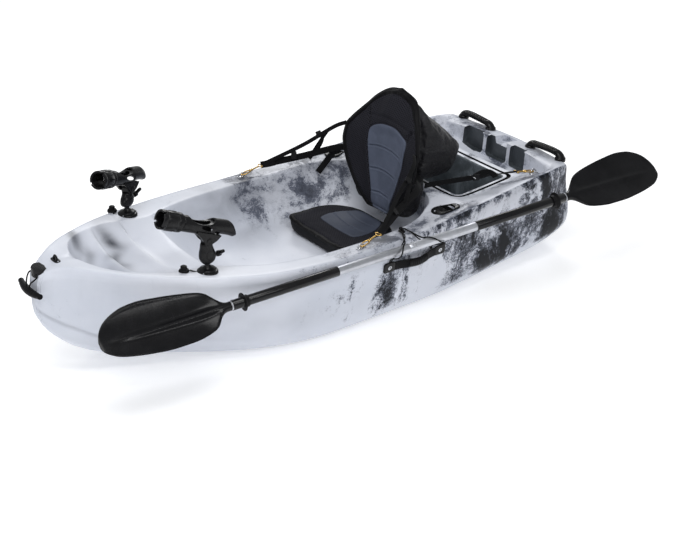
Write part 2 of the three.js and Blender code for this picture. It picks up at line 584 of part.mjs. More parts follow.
// Two shaft halves joined by a ferrule on the bow half, latched by a button.
const BUTTON_AT = -20;
{
  let bowHalf = solid(alongX(lathe([[0, 0.2], [SHAFT_R, 0.2], [SHAFT_R, BLADE_FROM - 0.4], [0, BLADE_FROM - 0.4]], 16)));
  bowHalf = bowHalf.add(solid(alongX(lathe([[0, -60], [12.6, -60], [13.1, -57], [13.1, 4], [0, 4]], 16))));
  bowHalf = bowHalf.subtract(solid(lathe([[0, 2], [4.4, 2], [4.4, 30], [0, 30]], 10).translate(BUTTON_AT, 0, 0)));
  addTo(paddle, "paddle_shaft_bow", bowHalf, "alu");
  let sternHalf = solid(alongX(lathe([[0, -BLADE_FROM + 0.4], [SHAFT_R, -BLADE_FROM + 0.4], [SHAFT_R, -0.2], [0, -0.2]], 16)));
  sternHalf = sternHalf.subtract(solid(alongX(lathe([[0, -64], [13.5, -64], [13.5, 5], [0, 5]], 16))));
  sternHalf = sternHalf.subtract(solid(lathe([[0, 2], [4.5, 2], [4.5, 30], [0, 30]], 10).translate(BUTTON_AT, 0, 0)));
  addTo(paddle, "paddle_shaft_stern", sternHalf, "alu");
  addTo(paddle, "paddle_button", lathe([[0, 5.6], [4, 5.6], [4, 16], [3, 18], [0, 18.4]], 10).translate(BUTTON_AT, 0, 0), "steel");
}
for (const [name, dir] of [["bow", 1], ["stern", -1]]) {
  const turn = (g) => (dir > 0 ? g : g.rotateZ(Math.PI));
  const sleeve = alongX(lathe([[SHAFT_R + 0.3, SLEEVE_FROM], [SLEEVE_R, SLEEVE_FROM], [SLEEVE_R, SLEEVE_TO], [SHAFT_R + 0.3, SLEEVE_TO], [SHAFT_R + 0.3, SLEEVE_FROM]], 16));
  addTo(paddle, `paddle_sleeve_${name}`, turn(sleeve), "black");
  const ring = alongX(lathe([[SLEEVE_R + 1, -9], [SLEEVE_R + 3, -9], [SLEEVE_R + 4, 2], [SLEEVE_R + 13, 6], [SLEEVE_R + 12, 9], [SLEEVE_R + 1, 9], [SLEEVE_R + 1, -9]], 14));
  addTo(paddle, `paddle_drip_ring_${name}`, turn(ring.translate(DRIP_RING_AT, 0, 0)), "rubber");
  // Blade: a spooned, ribbed sheet on a round socket.
  const blade = [];
  const near = table([[0, 15], [16, 20], [36, 34], [60, 54], [100, 70], [155, 79], [220, 80], [285, 74], [345, 64], [390, 52], [415, 38], [432, 22], [437, 10]]);
  const far = table([[0, -15], [12, -24], [30, -44], [60, -60], [93, -73], [155, -85], [217, -93], [280, -98], [330, -94], [370, -82], [400, -66], [422, -44], [433, -22], [437, -9]]);
  const thick = table([[0, 15], [30, 15], [70, 12], [130, 6], [220, 3.4], [440, 2.4]]);
  const rib = table([[0, 15], [30, 15], [80, 13], [160, 8.5], [260, 5], [360, 2.8], [440, 2.4]]);
  const bend = table([[0, 0], [40, 0], [120, 0], [220, 3], [330, 10], [440, 20]]);
  for (const s of [0, 14, 34, 62, 100, 160, 230, 300, 350, 390, 415, 430, BLADE_LENGTH]) {
    const a = near(s);
    const b = far(s);
    const t = thick(s);
    const r = Math.max(rib(s), t);
    const c = dir * bend(s);
    const k = smooth(4, 60, s);
    const ring8 = [];
    const round = circle(15, 12);
    const flat = [[a, 0], [a * 0.8, t * 0.9], [a * 0.32, t], [0, r], [b * 0.32, t], [b * 0.8, t * 0.9], [b, 0], [b * 0.8, -t * 0.7], [b * 0.32, -t * 0.8], [0, -t * 0.8], [a * 0.32, -t * 0.8], [a * 0.8, -t * 0.7]];
    const cup = (y) => 14 * k * (y / 88) ** 2;
    for (let i = 0; i < 12; i++) {
      const y = mix(round[i][0], flat[i][0], k);
      const z = mix(round[i][1], flat[i][1] + cup(flat[i][0]), k) + c;
      ring8.push([dir * (BLADE_FROM + s), y, z]);
    }
    blade.push(dir > 0 ? ring8 : ring8.reverse());
  }
  addTo(paddle, `paddle_blade_${name}`, loft(blade), "black");
}
paddle.updateMatrixWorld(true);

// Bungee: from the port eye over and under the shaft to the side handle.
{
  const axis = (x) => {
    const s = (x - PADDLE_CENTRE[0]) / Math.cos(THREE.MathUtils.degToRad(PADDLE_YAW));
    return [x, PADDLE_CENTRE[1] + s * Math.sin(THREE.MathUtils.degToRad(PADDLE_YAW)), PADDLE_CENTRE[2] + s * Math.sin(THREE.MathUtils.degToRad(PADDLE_PITCH))];
  };
  const round = (x, deg, r = SHAFT_R + 4.6) => {
    const [, y, z] = axis(x);
    const t = THREE.MathUtils.degToRad(deg);
    return [x, y + r * Math.sin(t), z + r * Math.cos(t)];
  };
  const top = deck(...BUNGEE_EYE) + 8.6;
  const eye = (d) => [BUNGEE_EYE[0] + d, BUNGEE_EYE[1], top];
  const end = (x, z) => [x, outsideY(x, z) + 6.5, z];
  const over = (xe, xs) => spline([eye(0), eye(Math.sign(xe - xs[0]) * 9), [mix(eye(0)[0], xs[0], 0.45), 378, top + 2], round(xs[0], -28), round(xs[1], 12), round(xs[2], 50, SHAFT_R + 5.6), round(xs[3], 92, SHAFT_R + 6), round(xe, 126, SHAFT_R + 8), end(xe, 264), end(xe, 256)], 16);
  const under = (xe, xs) => spline([eye(0), eye(Math.sign(xe - xs[0]) * 9), [mix(eye(0)[0], xs[0], 0.6), 392, top - 1], [xs[0], 404, top - 12], [xs[1], 407.5, 304], [xs[2], 408, 285], end(xe + (xe > -161 ? -9 : 9), 264), end(xe + (xe > -161 ? -4 : 4), 257)], 8);
  const run = (pts, r) => solid(sweep(pts, [0.3, 0.25, 1], circle(r, 5)));
  const bungee = run(over(-72, [-112, -98, -87, -80]), 2.5)
    .add(run(over(-252, [-182, -197, -214, -231]), 2.5))
    .add(run(under(-72, [-124, -110, -96]), 2))
    .add(run(under(-252, [-180, -196, -214]), 2));
  add("paddle_bungee", bungee, "cord");
}

// ---------------------------------------------------------------- rod holders
for (const [name, side] of SIDES) {
  const [bx, by0] = ROD_BASE;
  const by = side * by0;
  const bz = deck(bx, by0);
  const base = solid(
    lathe([[0, -12], [ROD_BASE_R, -12], [ROD_BASE_R, 4], [ROD_BASE_R - 3, 8], [24, 14], [14, 18], [11, 22], [8, 25], [8, 37], [13, 43], [11, 52], [0, 55]], 16).translate(bx, by, bz),
  ).subtract(above);
  add(`rod_base_${name}`, base, "black");

  const swivel = new THREE.Group();
  swivel.position.set(bx, by, 0);
  swivel.rotation.z = THREE.MathUtils.degToRad(ROD_TURN[name]);
  kayak.add(swivel);
  // Arm: two cheeks clamped round the ball, drawn as one body with its socket.
  const oval = (a, b, z, c = 0) => circle(1, 10).map(([p, q]) => [c + p * a, q * b, z]);
  const z0 = bz + 32;
  const pivot = ROD_PIVOT_Z[name];
  const lean = ROD_LEAN[name];
  const up = (t) => z0 + (pivot - 14 - z0) * t;
  let arm = solid(loft([oval(15, 14, z0, 0), oval(24, 17.5, up(0.13), -2), oval(28, 19, up(0.33), -2 + lean * 0.2), oval(26, 19, up(0.52), -1 + lean * 0.4), oval(21, 17, up(0.78), lean * 0.8), oval(19, 16, up(1), lean)]));
  arm = arm.add(solid(new THREE.CylinderGeometry(11, 11, 31, 10).translate(lean, 0, pivot))).add(solid(block(22, 31, 16, lean, 0, pivot - 8)));
  arm = arm.subtract(solid(lathe([[0, -3], [9.4, -3], [9.4, 4], [14.2, 6], [14.2, 24], [0, 26]], 10).translate(0, 0, z0)));
  arm = arm.subtract(solid(alongX(lathe([[0, -60], [5.4, -60], [5.4, -20], [0, -20]], 8)).translate(0, 0, z0 + 21)));
  addTo(swivel, `rod_arm_${name}`, arm, "black");
  // Clamp knob with a bar handle on its screw.
  const out = KNOB_OUT[name];
  let knob = solid(alongX(lathe([[0, -52 - out], [8, -52 - out], [9.5, -50 - out], [9.5, -40 - out], [8, -38 - out], [4.8, -37.6 - out], [4.8, -23], [0, -23]], 10)));
  knob = knob.add(solid(extrude(roundedRect(11, 62, 5, 2), 13, 2).rotateY(Math.PI / 2).translate(-53 - out, 0, 0)));
  const knobMesh = knob;
  const spin = new THREE.Group();
  spin.position.set(0, 0, z0 + 21);
  spin.rotation.x = THREE.MathUtils.degToRad(KNOB_TURN[name]);
  swivel.add(spin);
  addTo(spin, `rod_knob_${name}`, knobMesh, "black");

  // Holder: tube, saddle and tail on two cheeks round the arm's tongue.
  const tilt = new THREE.Group();
  tilt.position.set(lean, 0, pivot);
  tilt.rotation.y = THREE.MathUtils.degToRad(-ROD_TILT[name]);
  swivel.add(tilt);
  const xz = (points) => {
    const s = new THREE.Shape();
    points.forEach(([x, z], i) => (i ? s.lineTo(x, z) : s.moveTo(x, z)));
    return s;
  };
  const cheeks = extrude(xz([[-36, 24], [-24, 4], [-12, -7], [0, -12], [12, -9], [28, 2], [52, 16], [52, 24]]), 48).translate(0, 0, -24).rotateX(Math.PI / 2);
  const tubeSolid = solid(alongX(lathe([[0, -8], [25.5, -8], [26, COLLAR_FROM - 6], [24, COLLAR_FROM - CLEAR], [0, COLLAR_FROM - CLEAR]], 14)).translate(0, 0, 38));
  const hoop = (x, ry, z, rz) => circle(1, 10).map(([p, q]) => [x, ry * p, z + rz * q]);
  const tail = solid(loft([hoop(-94, 12, 33, 7), hoop(-86, 17, 37, 15), hoop(-73, 20.5, 44, 20.5), hoop(-56, 22, 47.5, 23.5), hoop(-12, 24, 46, 24), hoop(20, 25, 40, 25.5)]));
  let cradle = tubeSolid.add(tail).add(solid(cheeks));
  cradle = cradle.subtract(solid(alongX(lathe([[0, -30], [17, -30], [19.5, 40], [COLLAR_BORE - 3, 60], [COLLAR_BORE - 3, 200], [0, 200]], 12)).translate(0, 0, 39)));
  cradle = cradle.subtract(solid(alongX(lathe([[0, -72], [15, -72], [16.5, 0], [0, 0]], 10)).translate(0, 0, 49)));
  cradle = cradle.subtract(solid(new THREE.CylinderGeometry(34, 34, 90, 16).scale(1.62, 1, 1).translate(42, 0, 82)));
  cradle = cradle.subtract(solid(block(90, 33.2, 24, 0, 0, -0.4)));
  const slot = new THREE.CylinderGeometry(8, 8, 150, 8).scale(1.35, 1, 0.9);
  slot.applyQuaternion(new THREE.Quaternion().setFromUnitVectors(new THREE.Vector3(0, 1, 0), new THREE.Vector3(87, 54, 18).normalize()));
  cradle = cradle.subtract(solid(slot.translate(-15, 0, 31)));
  addTo(tilt, `rod_cradle_${name}`, cradle, "black");
  // Locking collar with a notched mouth.
  let collar = solid(alongX(lathe([[COLLAR_BORE, COLLAR_FROM], [COLLAR_R - 1, COLLAR_FROM], [COLLAR_R, COLLAR_FROM + 3], [COLLAR_R, 166], [COLLAR_R - 1.6, 167.5], [COLLAR_R, 169], [COLLAR_R, COLLAR_TO], [COLLAR_BORE, COLLAR_TO], [COLLAR_BORE, COLLAR_FROM]], 16)).translate(0, 0, 38));
  for (const [angle, w] of [[60, 7], [-150, 7], [-40, 7]]) {
    const cut = block(16, 30, w, COLLAR_TO, 30, 0).rotateX(THREE.MathUtils.degToRad(angle)).translate(0, 0, 38);
    collar = collar.subtract(solid(cut));
  }
  addTo(tilt, `rod_collar_${name}`, collar, "black");

  // Rubber cap for the base's socket, on its tether.
  const cap = lathe([[0, 0], [15, 0], [17, 3], [15, 9], [10, 12], [10, 19], [8, 21], [0, 21]], 10);
  const cx = name === "port" ? 611 : 581;
  const cy = name === "port" ? 234 : -299;
  const cz = deck(cx, Math.abs(cy));
  cap.translate(cx, cy, cz - 0.5);
  add(`rod_base_cap_${name}`, solid(cap).subtract(above), "rubber");
  const from = name === "port" ? [bx + 31, by - 11, bz + 4] : [bx + 32, by - 9, bz + 4];
  const to = name === "port" ? [cx - 15.4, cy + 5, cz + 3.5] : [cx + 5, cy + 15, cz + 3.5];
  const fall = [(from[0] + to[0]) / 2 + (name === "port" ? 0 : 6), (from[1] + to[1]) / 2, (from[2] + to[2]) / 2 - 0.5];
  const reach = (a, b, d) => a.map((v, i) => v + ((b[i] - v) * d) / Math.hypot(b[0] - a[0], b[1] - a[1], b[2] - a[2]));
  const tie = solid(sweep(spline([reach(from, to, name === "port" ? 2.2 : 3.2), fall, reach(to, from, 1.6)], 4), [0, 0, 1], strapSection(2.4, 5)));
  add(`rod_cap_tether_${name}`, tie.subtract(above), "rubber");
}

// ---------------------------------------------------------------- seat
// Half-width of the padded back at each height and how far its wings come forward.
const backHalf = table([[222, 66], [250, 90], [300, 129], [340, 160], [370, 182], [410, 201], [450, 210], [495, 208], [530, 188], [560, 165], [590, 140], [620, 115], [646, 84], [665, 50], [676, 14]]);
const wing = table([[222, 10], [250, 22], [300, 38], [400, 47], [450, 50], [495, 44], [530, 32], [560, 16], [590, 2], [650, -6], [682, -4]]);
const backX = (z) => SEAT_HINGE[0] + 10 - BACK_LEAN * (z - 225) - 18 * smooth(590, 655, z);
const BACK_THICK = 32;
function backBody(grow) {
  const rings = [226 - grow, 250, 290, 335, 375, 415, 455, 495, 530, 560, 590, 618, 646, 665, 676 + grow].map((z) => {
    const w = backHalf(z) + grow;
    const f = wing(z);
    const t = z > 655 ? mix(BACK_THICK, 16, (z - 655) / 21) : BACK_THICK;
    const face = [-1, -0.82, -0.5, 0, 0.5, 0.82, 1];
    const r = [];
    for (const k of face) r.push([backX(z) + f * Math.abs(k) ** 2.4 - (Math.abs(k) === 1 ? 7 : 0) + grow, k * w, z]);
    for (const k of [...face].reverse()) r.push([backX(z) + f * Math.abs(k) ** 2.4 - t + (Math.abs(k) === 1 ? 7 : 0) - grow, k * w, z]);
    return r;
  });
  return solid(loft(rings));
}
add("seat_back", backBody(0), "fabric");
// Nylon pocket low on the back, and the bag that hangs above the hatch.
{
  const pocket = [
    [244, 90, 112, 140, -325, -376, -392],
    [268, 104, 132, 160, -325, -385, -405],
    [308, 118, 148, 168, -325, -393, -414],
    [346, 140, 164, 172, -335, -400, -424],
    [384, 150, 168, 172, -345, -404, -432],
  ].map(([z, y0, y1, y2, xf, xm, xa]) => {
    const inside = (y) => backX(z) + wing(z) * Math.min(1, y / backHalf(z)) ** 2.4 - BACK_THICK * 0.55;
    const half = [[inside(0), 0], [inside(y0 * 0.75), y0 * 0.75], [xf, y1], [mix(xf, xm, 0.4), y2], [xm + 10, y2 - 4], [xm - 8, y2 - 26], [xa, y2 * 0.45], [xa, 0]];
    return [...half, ...half.slice(1, -1).reverse().map(([x, y]) => [x, -y])].map(([x, y]) => [x, y, z]);
  });
  const bagBody = (grow) =>
    solid(loft([[352 - grow, 112, 540], [366, 120, 588], [400, 124, 612], [440, 124, 628], [480, 122, 596], [520, 118, 556], [560, 112, 512], [600, 100, 474], [628, 84, 452]].map(([z, half, back]) => {
      const w = half + grow;
      const front = backX(z) - BACK_THICK - 3 + grow;
      const aft = -back - grow;
      return [[front, w - 6, z], [front, -(w - 6), z], [mix(front, aft, 0.35), -w, z], [mix(front, aft, 0.8), -w, z], [aft, -(w - 22), z], [aft - 5, 0, z], [aft, w - 22, z], [mix(front, aft, 0.8), w, z], [mix(front, aft, 0.35), w, z]].reverse();
    })));
  add("seat_pocket", solid(loft(pocket)).subtract(backBody(1.2)).subtract(bagBody(1.2)), "fabric");
  add("seat_bag", bagBody(0), "fabric");
}
// Padded base on the cockpit sole.
{
  const outline = [[-52, 0], [-50, 70], [-46, 130], [-52, 162], [-72, 178], [-120, 183], [-190, 180], [-250, 160], [-296, 118], [-316, 70], [-318, 0]];
  const full = [...outline, ...outline.slice(1, -1).reverse().map(([x, y]) => [x, -y])];
  const level = (x, y, t) => {
    const dish = 14 * (Math.abs(y) / 180) ** 3 + 8 * smooth(-110, -50, x);
    const lower = deck(x, y) + 2;
    return t === 0 ? Math.max(lower, 160) : Math.max(204 + dish, deck(x, y) + 14);
  };
  const ringAt = (k, t, lift) => full.map(([x, y]) => [-185 + (x + 185) * k, y * k, level(-185 + (x + 185) * k, y * k, t) + lift]);
  const rings = [ringAt(0.5, 0, 0), ringAt(0.8, 0, 0), ringAt(0.9, 0, 10), ringAt(0.985, 1, -19), ringAt(1, 1, -9), ringAt(0.965, 1, 0), ringAt(0.84, 1, 2), ringAt(0.78, 1, -3), ringAt(0.4, 1, -5)];
  add("seat_base", solid(loft(rings)).subtract(above), "fabric");
}
// Straps run from the back to snap hooks on the four eyelets.
for (const [name, side] of SIDES) {
  const s = (x, y, z) => [x, side * y, z];
  const eyeRoot = (p) => {
    const slope = (deck(p[0], p[1] + 8) - deck(p[0], p[1] - 8)) / 16;
    return [p[0], p[1] - 7.8 * slope, deck(p[0], p[1]) + 7.6];
  };
  for (const [tag, eye, hookEnd] of [["fore", EYELET_FRONT, [-62, 356, 349]], ["aft", EYELET_REAR, [-722, 285, 377]]]) {
    const root = eyeRoot(eye);
    const dir = hookEnd.map((v, i) => v - root[i]);
    const len = Math.hypot(...dir);
    const u = dir.map((v) => v / len);
    // Snap hook: an open oval, a swivel and a webbing eye.
    const along = (d, a = 0, b = 0) => {
      const n = [-u[1], u[0], 0];
      const nl = Math.hypot(n[0], n[1]);
      const nn = [n[0] / nl, n[1] / nl, 0];
      const v = [u[1] * nn[2] - u[2] * nn[1], u[2] * nn[0] - u[0] * nn[2], u[0] * nn[1] - u[1] * nn[0]];
      return [root[0] + u[0] * d + nn[0] * a + v[0] * b, root[1] + u[1] * d + nn[1] * a + v[1] * b, root[2] + u[2] * d + nn[2] * a + v[2] * b].map((c, i) => (i === 1 ? c * side : c));
    };
    const ovalLoop = (c, ra, rb, n, r, m) => {
      const pts = Array.from({ length: n + 1 }, (_, i) => along(c + ra * Math.cos(0.35 + (i / n) * (2 * Math.PI - 0.7)), rb * Math.sin(0.35 + (i / n) * (2 * Math.PI - 0.7)), 0));
      return solid(sweep(pts, pts.map((p) => { const q = along(0, 0, 1); const o = along(0, 0, 0); return [q[0] - o[0], q[1] - o[1], q[2] - o[2]]; }), circle(r, m)));
    };
    const bar = (d0, d1, r) => {
      const p = along(d0);
      const q = along(d1);
      const o = along(0, 0, 1);
      const z = along(0, 0, 0);
      return solid(sweep([p, q], [o[0] - z[0], o[1] - z[1], o[2] - z[2]], circle(r, 5)));
    };
    const L = len - 4;
    const hook = ovalLoop(19, 20, 8.5, 9, 2.4, 5).add(bar(34, 46, 5)).add(bar(42, L - 8, 3.4)).add(bar(L - 12, L - 2, 5.4));
    add(`snap_hook_${tag}_${name}`, hook.subtract(above), "brass");
    const start = along(len + 0.6);
    const web = (pts, w) => solid(sweep(pts, [0, 0.35 * side, 1], strapSection(w, 2.4)));
    if (tag === "fore") {
      const upper = spline([start, s(-200, 279, 423), s(-306, 226, 488)], 5);
      const lower = spline([start, s(-200, 288, 374), s(-318, 236, 396)], 5);
      const brace = spline([s(-276, 242, 466), s(-256, 262, 424), s(-231, 274, 380)], 3);
      add(`seat_strap_fore_${name}`, web(upper, 15).add(web(lower, 24)).add(solid(sweep(brace, [1, 0, 0.2], strapSection(18, 2.2)))), "fabric");
    } else {
      add(`seat_strap_aft_${name}`, web(spline([start, s(-560, 220, 370), s(-430, 172, 363), s(-413, 169, 362)], 6), 24), "fabric");
    }
  }
}

export default kayak;
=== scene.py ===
import math
import bpy
import numpy as np
from mathutils import Matrix, Vector, noise
from mathutils.bvhtree import BVHTree


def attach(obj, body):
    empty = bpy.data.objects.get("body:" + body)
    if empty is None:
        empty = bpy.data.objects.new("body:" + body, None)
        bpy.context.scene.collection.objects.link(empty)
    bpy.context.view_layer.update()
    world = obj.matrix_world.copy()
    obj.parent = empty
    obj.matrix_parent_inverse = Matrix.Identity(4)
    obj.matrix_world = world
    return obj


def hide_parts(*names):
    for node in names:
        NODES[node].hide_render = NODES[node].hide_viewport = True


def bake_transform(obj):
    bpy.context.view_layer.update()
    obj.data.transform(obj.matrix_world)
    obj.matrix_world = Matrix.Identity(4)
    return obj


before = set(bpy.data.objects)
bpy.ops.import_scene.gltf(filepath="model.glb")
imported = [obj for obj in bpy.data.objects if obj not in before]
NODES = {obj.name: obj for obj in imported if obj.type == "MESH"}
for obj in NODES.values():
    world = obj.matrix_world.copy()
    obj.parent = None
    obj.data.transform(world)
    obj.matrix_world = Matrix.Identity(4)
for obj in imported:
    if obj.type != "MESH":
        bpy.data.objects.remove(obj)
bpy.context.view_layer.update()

scene = bpy.context.scene
scene.view_settings.view_transform = "Standard"

# ------------------------------------------------------------------ camera
camera = bpy.data.objects.new("camera", bpy.data.cameras.new("camera"))
scene.collection.objects.link(camera)
camera.data.lens = 72.85
camera.data.sensor_width = 36
camera.data.sensor_fit = "HORIZONTAL"
camera.data.clip_end = 200
camera.location = (2.4398, 3.5721, 2.3096)
camera.rotation_euler = (Vector((-0.151, 0, -0.003)) - camera.location).to_track_quat("-Z", "Y").to_euler()
scene.camera = camera


# ------------------------------------------------------------------ small maths
def table(points):
    xs = np.array([p[0] for p in points], float)
    vs = np.array([p[1] for p in points], float)
    d = np.diff(vs) / np.diff(xs)
    m = np.zeros(len(xs))
    m[0], m[-1] = d[0], d[-1]
    for i in range(1, len(xs) - 1):
        m[i] = 0 if d[i - 1] * d[i] <= 0 else 2 * d[i - 1] * d[i] / (d[i - 1] + d[i])

    def f(x):
        x = np.clip(np.asarray(x, float), xs[0], xs[-1])
        i = np.clip(np.searchsorted(xs, x, side="right") - 1, 0, len(xs) - 2)
        h = xs[i + 1] - xs[i]
        t = (x - xs[i]) / h
        a, b = vs[i], vs[i + 1]
        return a * (1 + 2 * t) * (1 - t) ** 2 + h * m[i] * t * (1 - t) ** 2 + b * t * t * (3 - 2 * t) + h * m[i + 1] * t * t * (t - 1)

    return f


def smooth(a, b, x):
    t = np.clip((np.asarray(x, float) - a) / (b - a), 0, 1)
    return t * t * (3 - 2 * t)


def mix(a, b, t):
    return a + (b - a) * t


rad = math.radians

# ------------------------------------------------------------------ hull form
crestW = table([
    (-1000, 319), (-900, 333), (-800, 344), (-700, 352), (-600, 361), (-500, 370), (-400, 378), (-300, 386), (-200, 391),
    (-100, 392), (0, 391.5), (100, 390), (200, 384), (300, 374), (400, 356), (500, 327), (600, 290), (700, 243), (800, 182),
    (850, 146), (900, 104), (940, 72), (970, 51), (990, 38), (1000, 30)])
crestZ = table([
    (-1000, 362), (-940, 369), (-900, 370), (-800, 368), (-700, 362), (-600, 355), (-500, 348), (-400, 340), (-300, 333),
    (-200, 326), (-100, 322), (0, 321), (100, 321), (200, 324), (300, 328), (400, 335), (500, 345), (600, 359), (700, 373),
    (800, 387), (880, 399), (925, 404), (950, 403), (970, 399), (985, 393), (1000, 384)])
keelZ = table([
    (-1000, 52), (-950, 40), (-900, 30), (-800, 14), (-700, 4), (-620, 0), (420, 0), (500, 0.5), (600, 5), (700, 14), (800, 36),
    (860, 60), (900, 84), (943, 120), (975, 155), (992, 184), (1000, 205)])
chineY = table([
    (-1000, 282), (-950, 289), (-850, 297), (-750, 301), (-650, 304), (-550, 309), (-450, 315), (-350, 324), (-250, 328),
    (-50, 331), (100, 332), (200, 325), (300, 306), (400, 276), (500, 236), (600, 196), (700, 155), (800, 114), (870, 82),
    (930, 54), (970, 31), (1000, 11)])
chineZ = table([
    (-1000, 88), (-950, 74), (-850, 58), (-750, 48), (-650, 38), (-550, 30), (-450, 24), (-350, 21), (100, 20), (200, 21),
    (300, 24), (400, 30), (500, 47), (600, 75), (700, 102), (800, 123), (870, 138), (930, 158), (970, 186), (1000, 226)])
innerY = table([
    (-1000, 222), (-912, 290), (-860, 292), (-826, 276), (-800, 240), (-560, 245), (-500, 242), (-478, 225), (-460, 150),
    (-446, 70), (-440, 66), (-430, 112), (-415, 160), (-395, 203), (-365, 238), (-330, 262), (-290, 288), (-250, 305),
    (-200, 316), (-100, 321), (0, 321), (100, 320), (200, 313), (300, 298), (380, 275), (440, 248), (500, 226), (544, 220),
    (600, 222), (650, 220), (700, 205), (750, 182), (800, 145), (835, 105), (858, 60), (872, 24), (885, 15), (970, 10), (1000, 3)])
soleZ = table([
    (-1000, 352), (-912, 364), (-906, 364), (-896, 280), (-860, 275), (-812, 277), (-800, 322), (-790, 322), (-540, 309),
    (-500, 312), (-462, 318), (-446, 320), (-440, 318), (-432, 178), (-415, 162), (-380, 157), (-340, 155), (-60, 155),
    (0, 150), (80, 142), (160, 140), (240, 146), (300, 160), (360, 187), (410, 222), (445, 248), (464, 262), (470, 288),
    (480, 290), (520, 285), (560, 281), (592, 286), (603, 318), (612, 318), (640, 306), (680, 299), (708, 300), (718, 326),
    (728, 326), (745, 312), (775, 302), (815, 300), (835, 318), (850, 350), (864, 382), (876, 392), (890, 395), (930, 399),
    (950, 398), (970, 395), (985, 390), (1000, 382)])
bowlPower = table([
    (-1000, 3.2), (-830, 3.2), (-800, 6), (-450, 6), (-430, 7), (-300, 6), (0, 5), (200, 4.2), (350, 3.2), (450, 2.6),
    (550, 2.3), (700, 2.3), (800, 2.5), (850, 3), (1000, 3)])
sideDrop = table([
    (-1000, 6), (-930, 10), (-880, 28), (-800, 36), (-700, 40), (-560, 38), (-480, 26), (-430, 12), (-380, 6), (-300, 4),
    (800, 3), (880, 0), (1000, 0)])
deckCrown = table([(-1000, 0), (800, 0), (880, -3), (930, -5), (1000, -1)])
stemBulge = table([(150, -2), (200, 3), (245, 14), (271, 16), (311, 11), (356, 6), (371, 0), (385, -10), (400, -14)])


def deck(x, y):
    ay = np.abs(np.asarray(y, float))
    w, zr, yi = crestW(x), crestZ(x), innerY(x)

    def top(a):
        return zr + deckCrown(x) * (1 - (a / w) ** 2) - sideDrop(x) * (np.maximum(0, w - a) / (w - yi)) ** 1.3

    sole = soleZ(x)
    bowl = sole + (top(yi) - sole) * (np.minimum(ay, yi) / yi) ** bowlPower(x)
    return np.where(ay >= yi, top(ay), bowl)


def outside(x):
    w, zr, zk, yc, zc = (float(f(x)) for f in (crestW, crestZ, keelZ, chineY, chineZ))
    wo = w + 7 * min(1, w / 60)
    f = float(smooth(-1000, -860, x) * (1 - smooth(430, 700, x)))
    yk = yc + mix(3, 29, min(1, yc / 200))
    rise = min(45, (zr - zc) * 0.3)
    ykn = min(yk, wo - 1)
    zkn = zc + rise
    b = lambda t: zk + (zc - zk) * t
    return np.array([
        [0, zk], [0.15 * yc, zk], [0.24 * yc, b(0.06) + 11 * f], [0.42 * yc, b(0.12) + 13 * f], [0.54 * yc, b(0.16) + 2 * f],
        [0.9 * yc, b(0.46)], [yc, zc], [ykn, zkn], [mix(ykn, wo, 0.5) + 1.5, mix(zkn, zr - 38, 0.5)], [wo - 0.5, zr - 38],
        [wo, zr - 17], [mix(w, wo, 0.6), zr - 5]])


def outside_y(x, z):
    s = outside(x)
    for i in range(6, len(s) - 1):
        if s[i][1] <= z <= s[i + 1][1]:
            return mix(s[i][0], s[i + 1][0], (z - s[i][1]) / (s[i + 1][1] - s[i][1]))
    return s[-1][0]


def warp(p):
    x, y, z = p[..., 0], p[..., 1], p[..., 2]
    crown = mix(15, 45, smooth(150, 330, z))
    stern = crown * (np.abs(y) / 300) ** 2 * (1 - smooth(-1000, -820, x))
    bow = stemBulge(z) * smooth(860, 1000, x)
    return np.stack([x + stern + bow, y, z], -1)


# ------------------------------------------------------------------ mesh helpers
def mesh_object(name, verts, faces, material=None, shade=True):
    me = bpy.data.meshes.new(name)
    me.from_pydata([tuple(map(float, v)) for v in verts], [], faces)
    me.validate()
    me.update()
    if shade:
        me.polygons.foreach_set("use_smooth", [True] * len(me.polygons))
    ob = bpy.data.objects.new(name, me)
    scene.collection.objects.link(ob)
    if material:
        me.materials.append(material)
    return ob


def apply_modifiers(ob):
    bpy.context.view_layer.update()
    dg = bpy.context.evaluated_depsgraph_get()
    me = bpy.data.meshes.new_from_object(ob.evaluated_get(dg))
    ob.modifiers.clear()
    ob.data = me
    return ob


def boolean(a, b, operation="DIFFERENCE", keep=False, material="INDEX"):
    m = a.modifiers.new("cut", "BOOLEAN")
    m.operation = operation
    m.object = b
    m.solver = "MANIFOLD"
    if hasattr(m, "material_mode"):
        m.material_mode = material
    apply_modifiers(a)
    if not keep:
        bpy.data.objects.remove(b)
    return a


def loft_data(rings, cap=True):
    n = len(rings[0])
    verts = [tuple(p) for r in rings for p in r]
    faces = []
    for i in range(len(rings) - 1):
        for j in range(n):
            a, b = i * n + j, i * n + (j + 1) % n
            faces.append((a, b, b + n, a + n))
    if cap:
        for k, flip in ((0, True), (len(rings) - 1, False)):
            c = np.mean(np.array(rings[k], float), axis=0)
            at = len(verts)
            verts.append(tuple(c))
            for j in range(n):
                a, b = k * n + j, k * n + (j + 1) % n
                faces.append((at, b, a) if flip else (at, a, b))
    return verts, faces


def loft(name, rings, material=None, cap=True):
    """Rings run anticlockwise seen from the end that they advance to. Millimetres."""
    v, f = loft_data(rings, cap)
    return mesh_object(name, np.array(v, float) / 1000, f, material)


def frames(points, sides):
    pts = [np.array(p, float) for p in points]
    out = []
    for i, p in enumerate(pts):
        t = pts[min(len(pts) - 1, i + 1)] - pts[max(0, i - 1)]
        t /= np.linalg.norm(t)
        s = np.array(sides if isinstance(sides[0], (int, float)) else sides[i], float)
        s = s - t * s.dot(t)
        s /= np.linalg.norm(s)
        out.append((p, t, s, np.cross(t, s)))
    return out


def sweep(name, points, sides, section, material=None, uv=False, cap=True):
    fr = frames(points, sides)
    n = len(fr) - 1
    rings = []
    for i, (p, t, s, u) in enumerate(fr):
        sec = section(i / n) if callable(section) else section
        rings.append([p + s * q + u * r for q, r in sec])
    return loft(name, rings, material, cap)


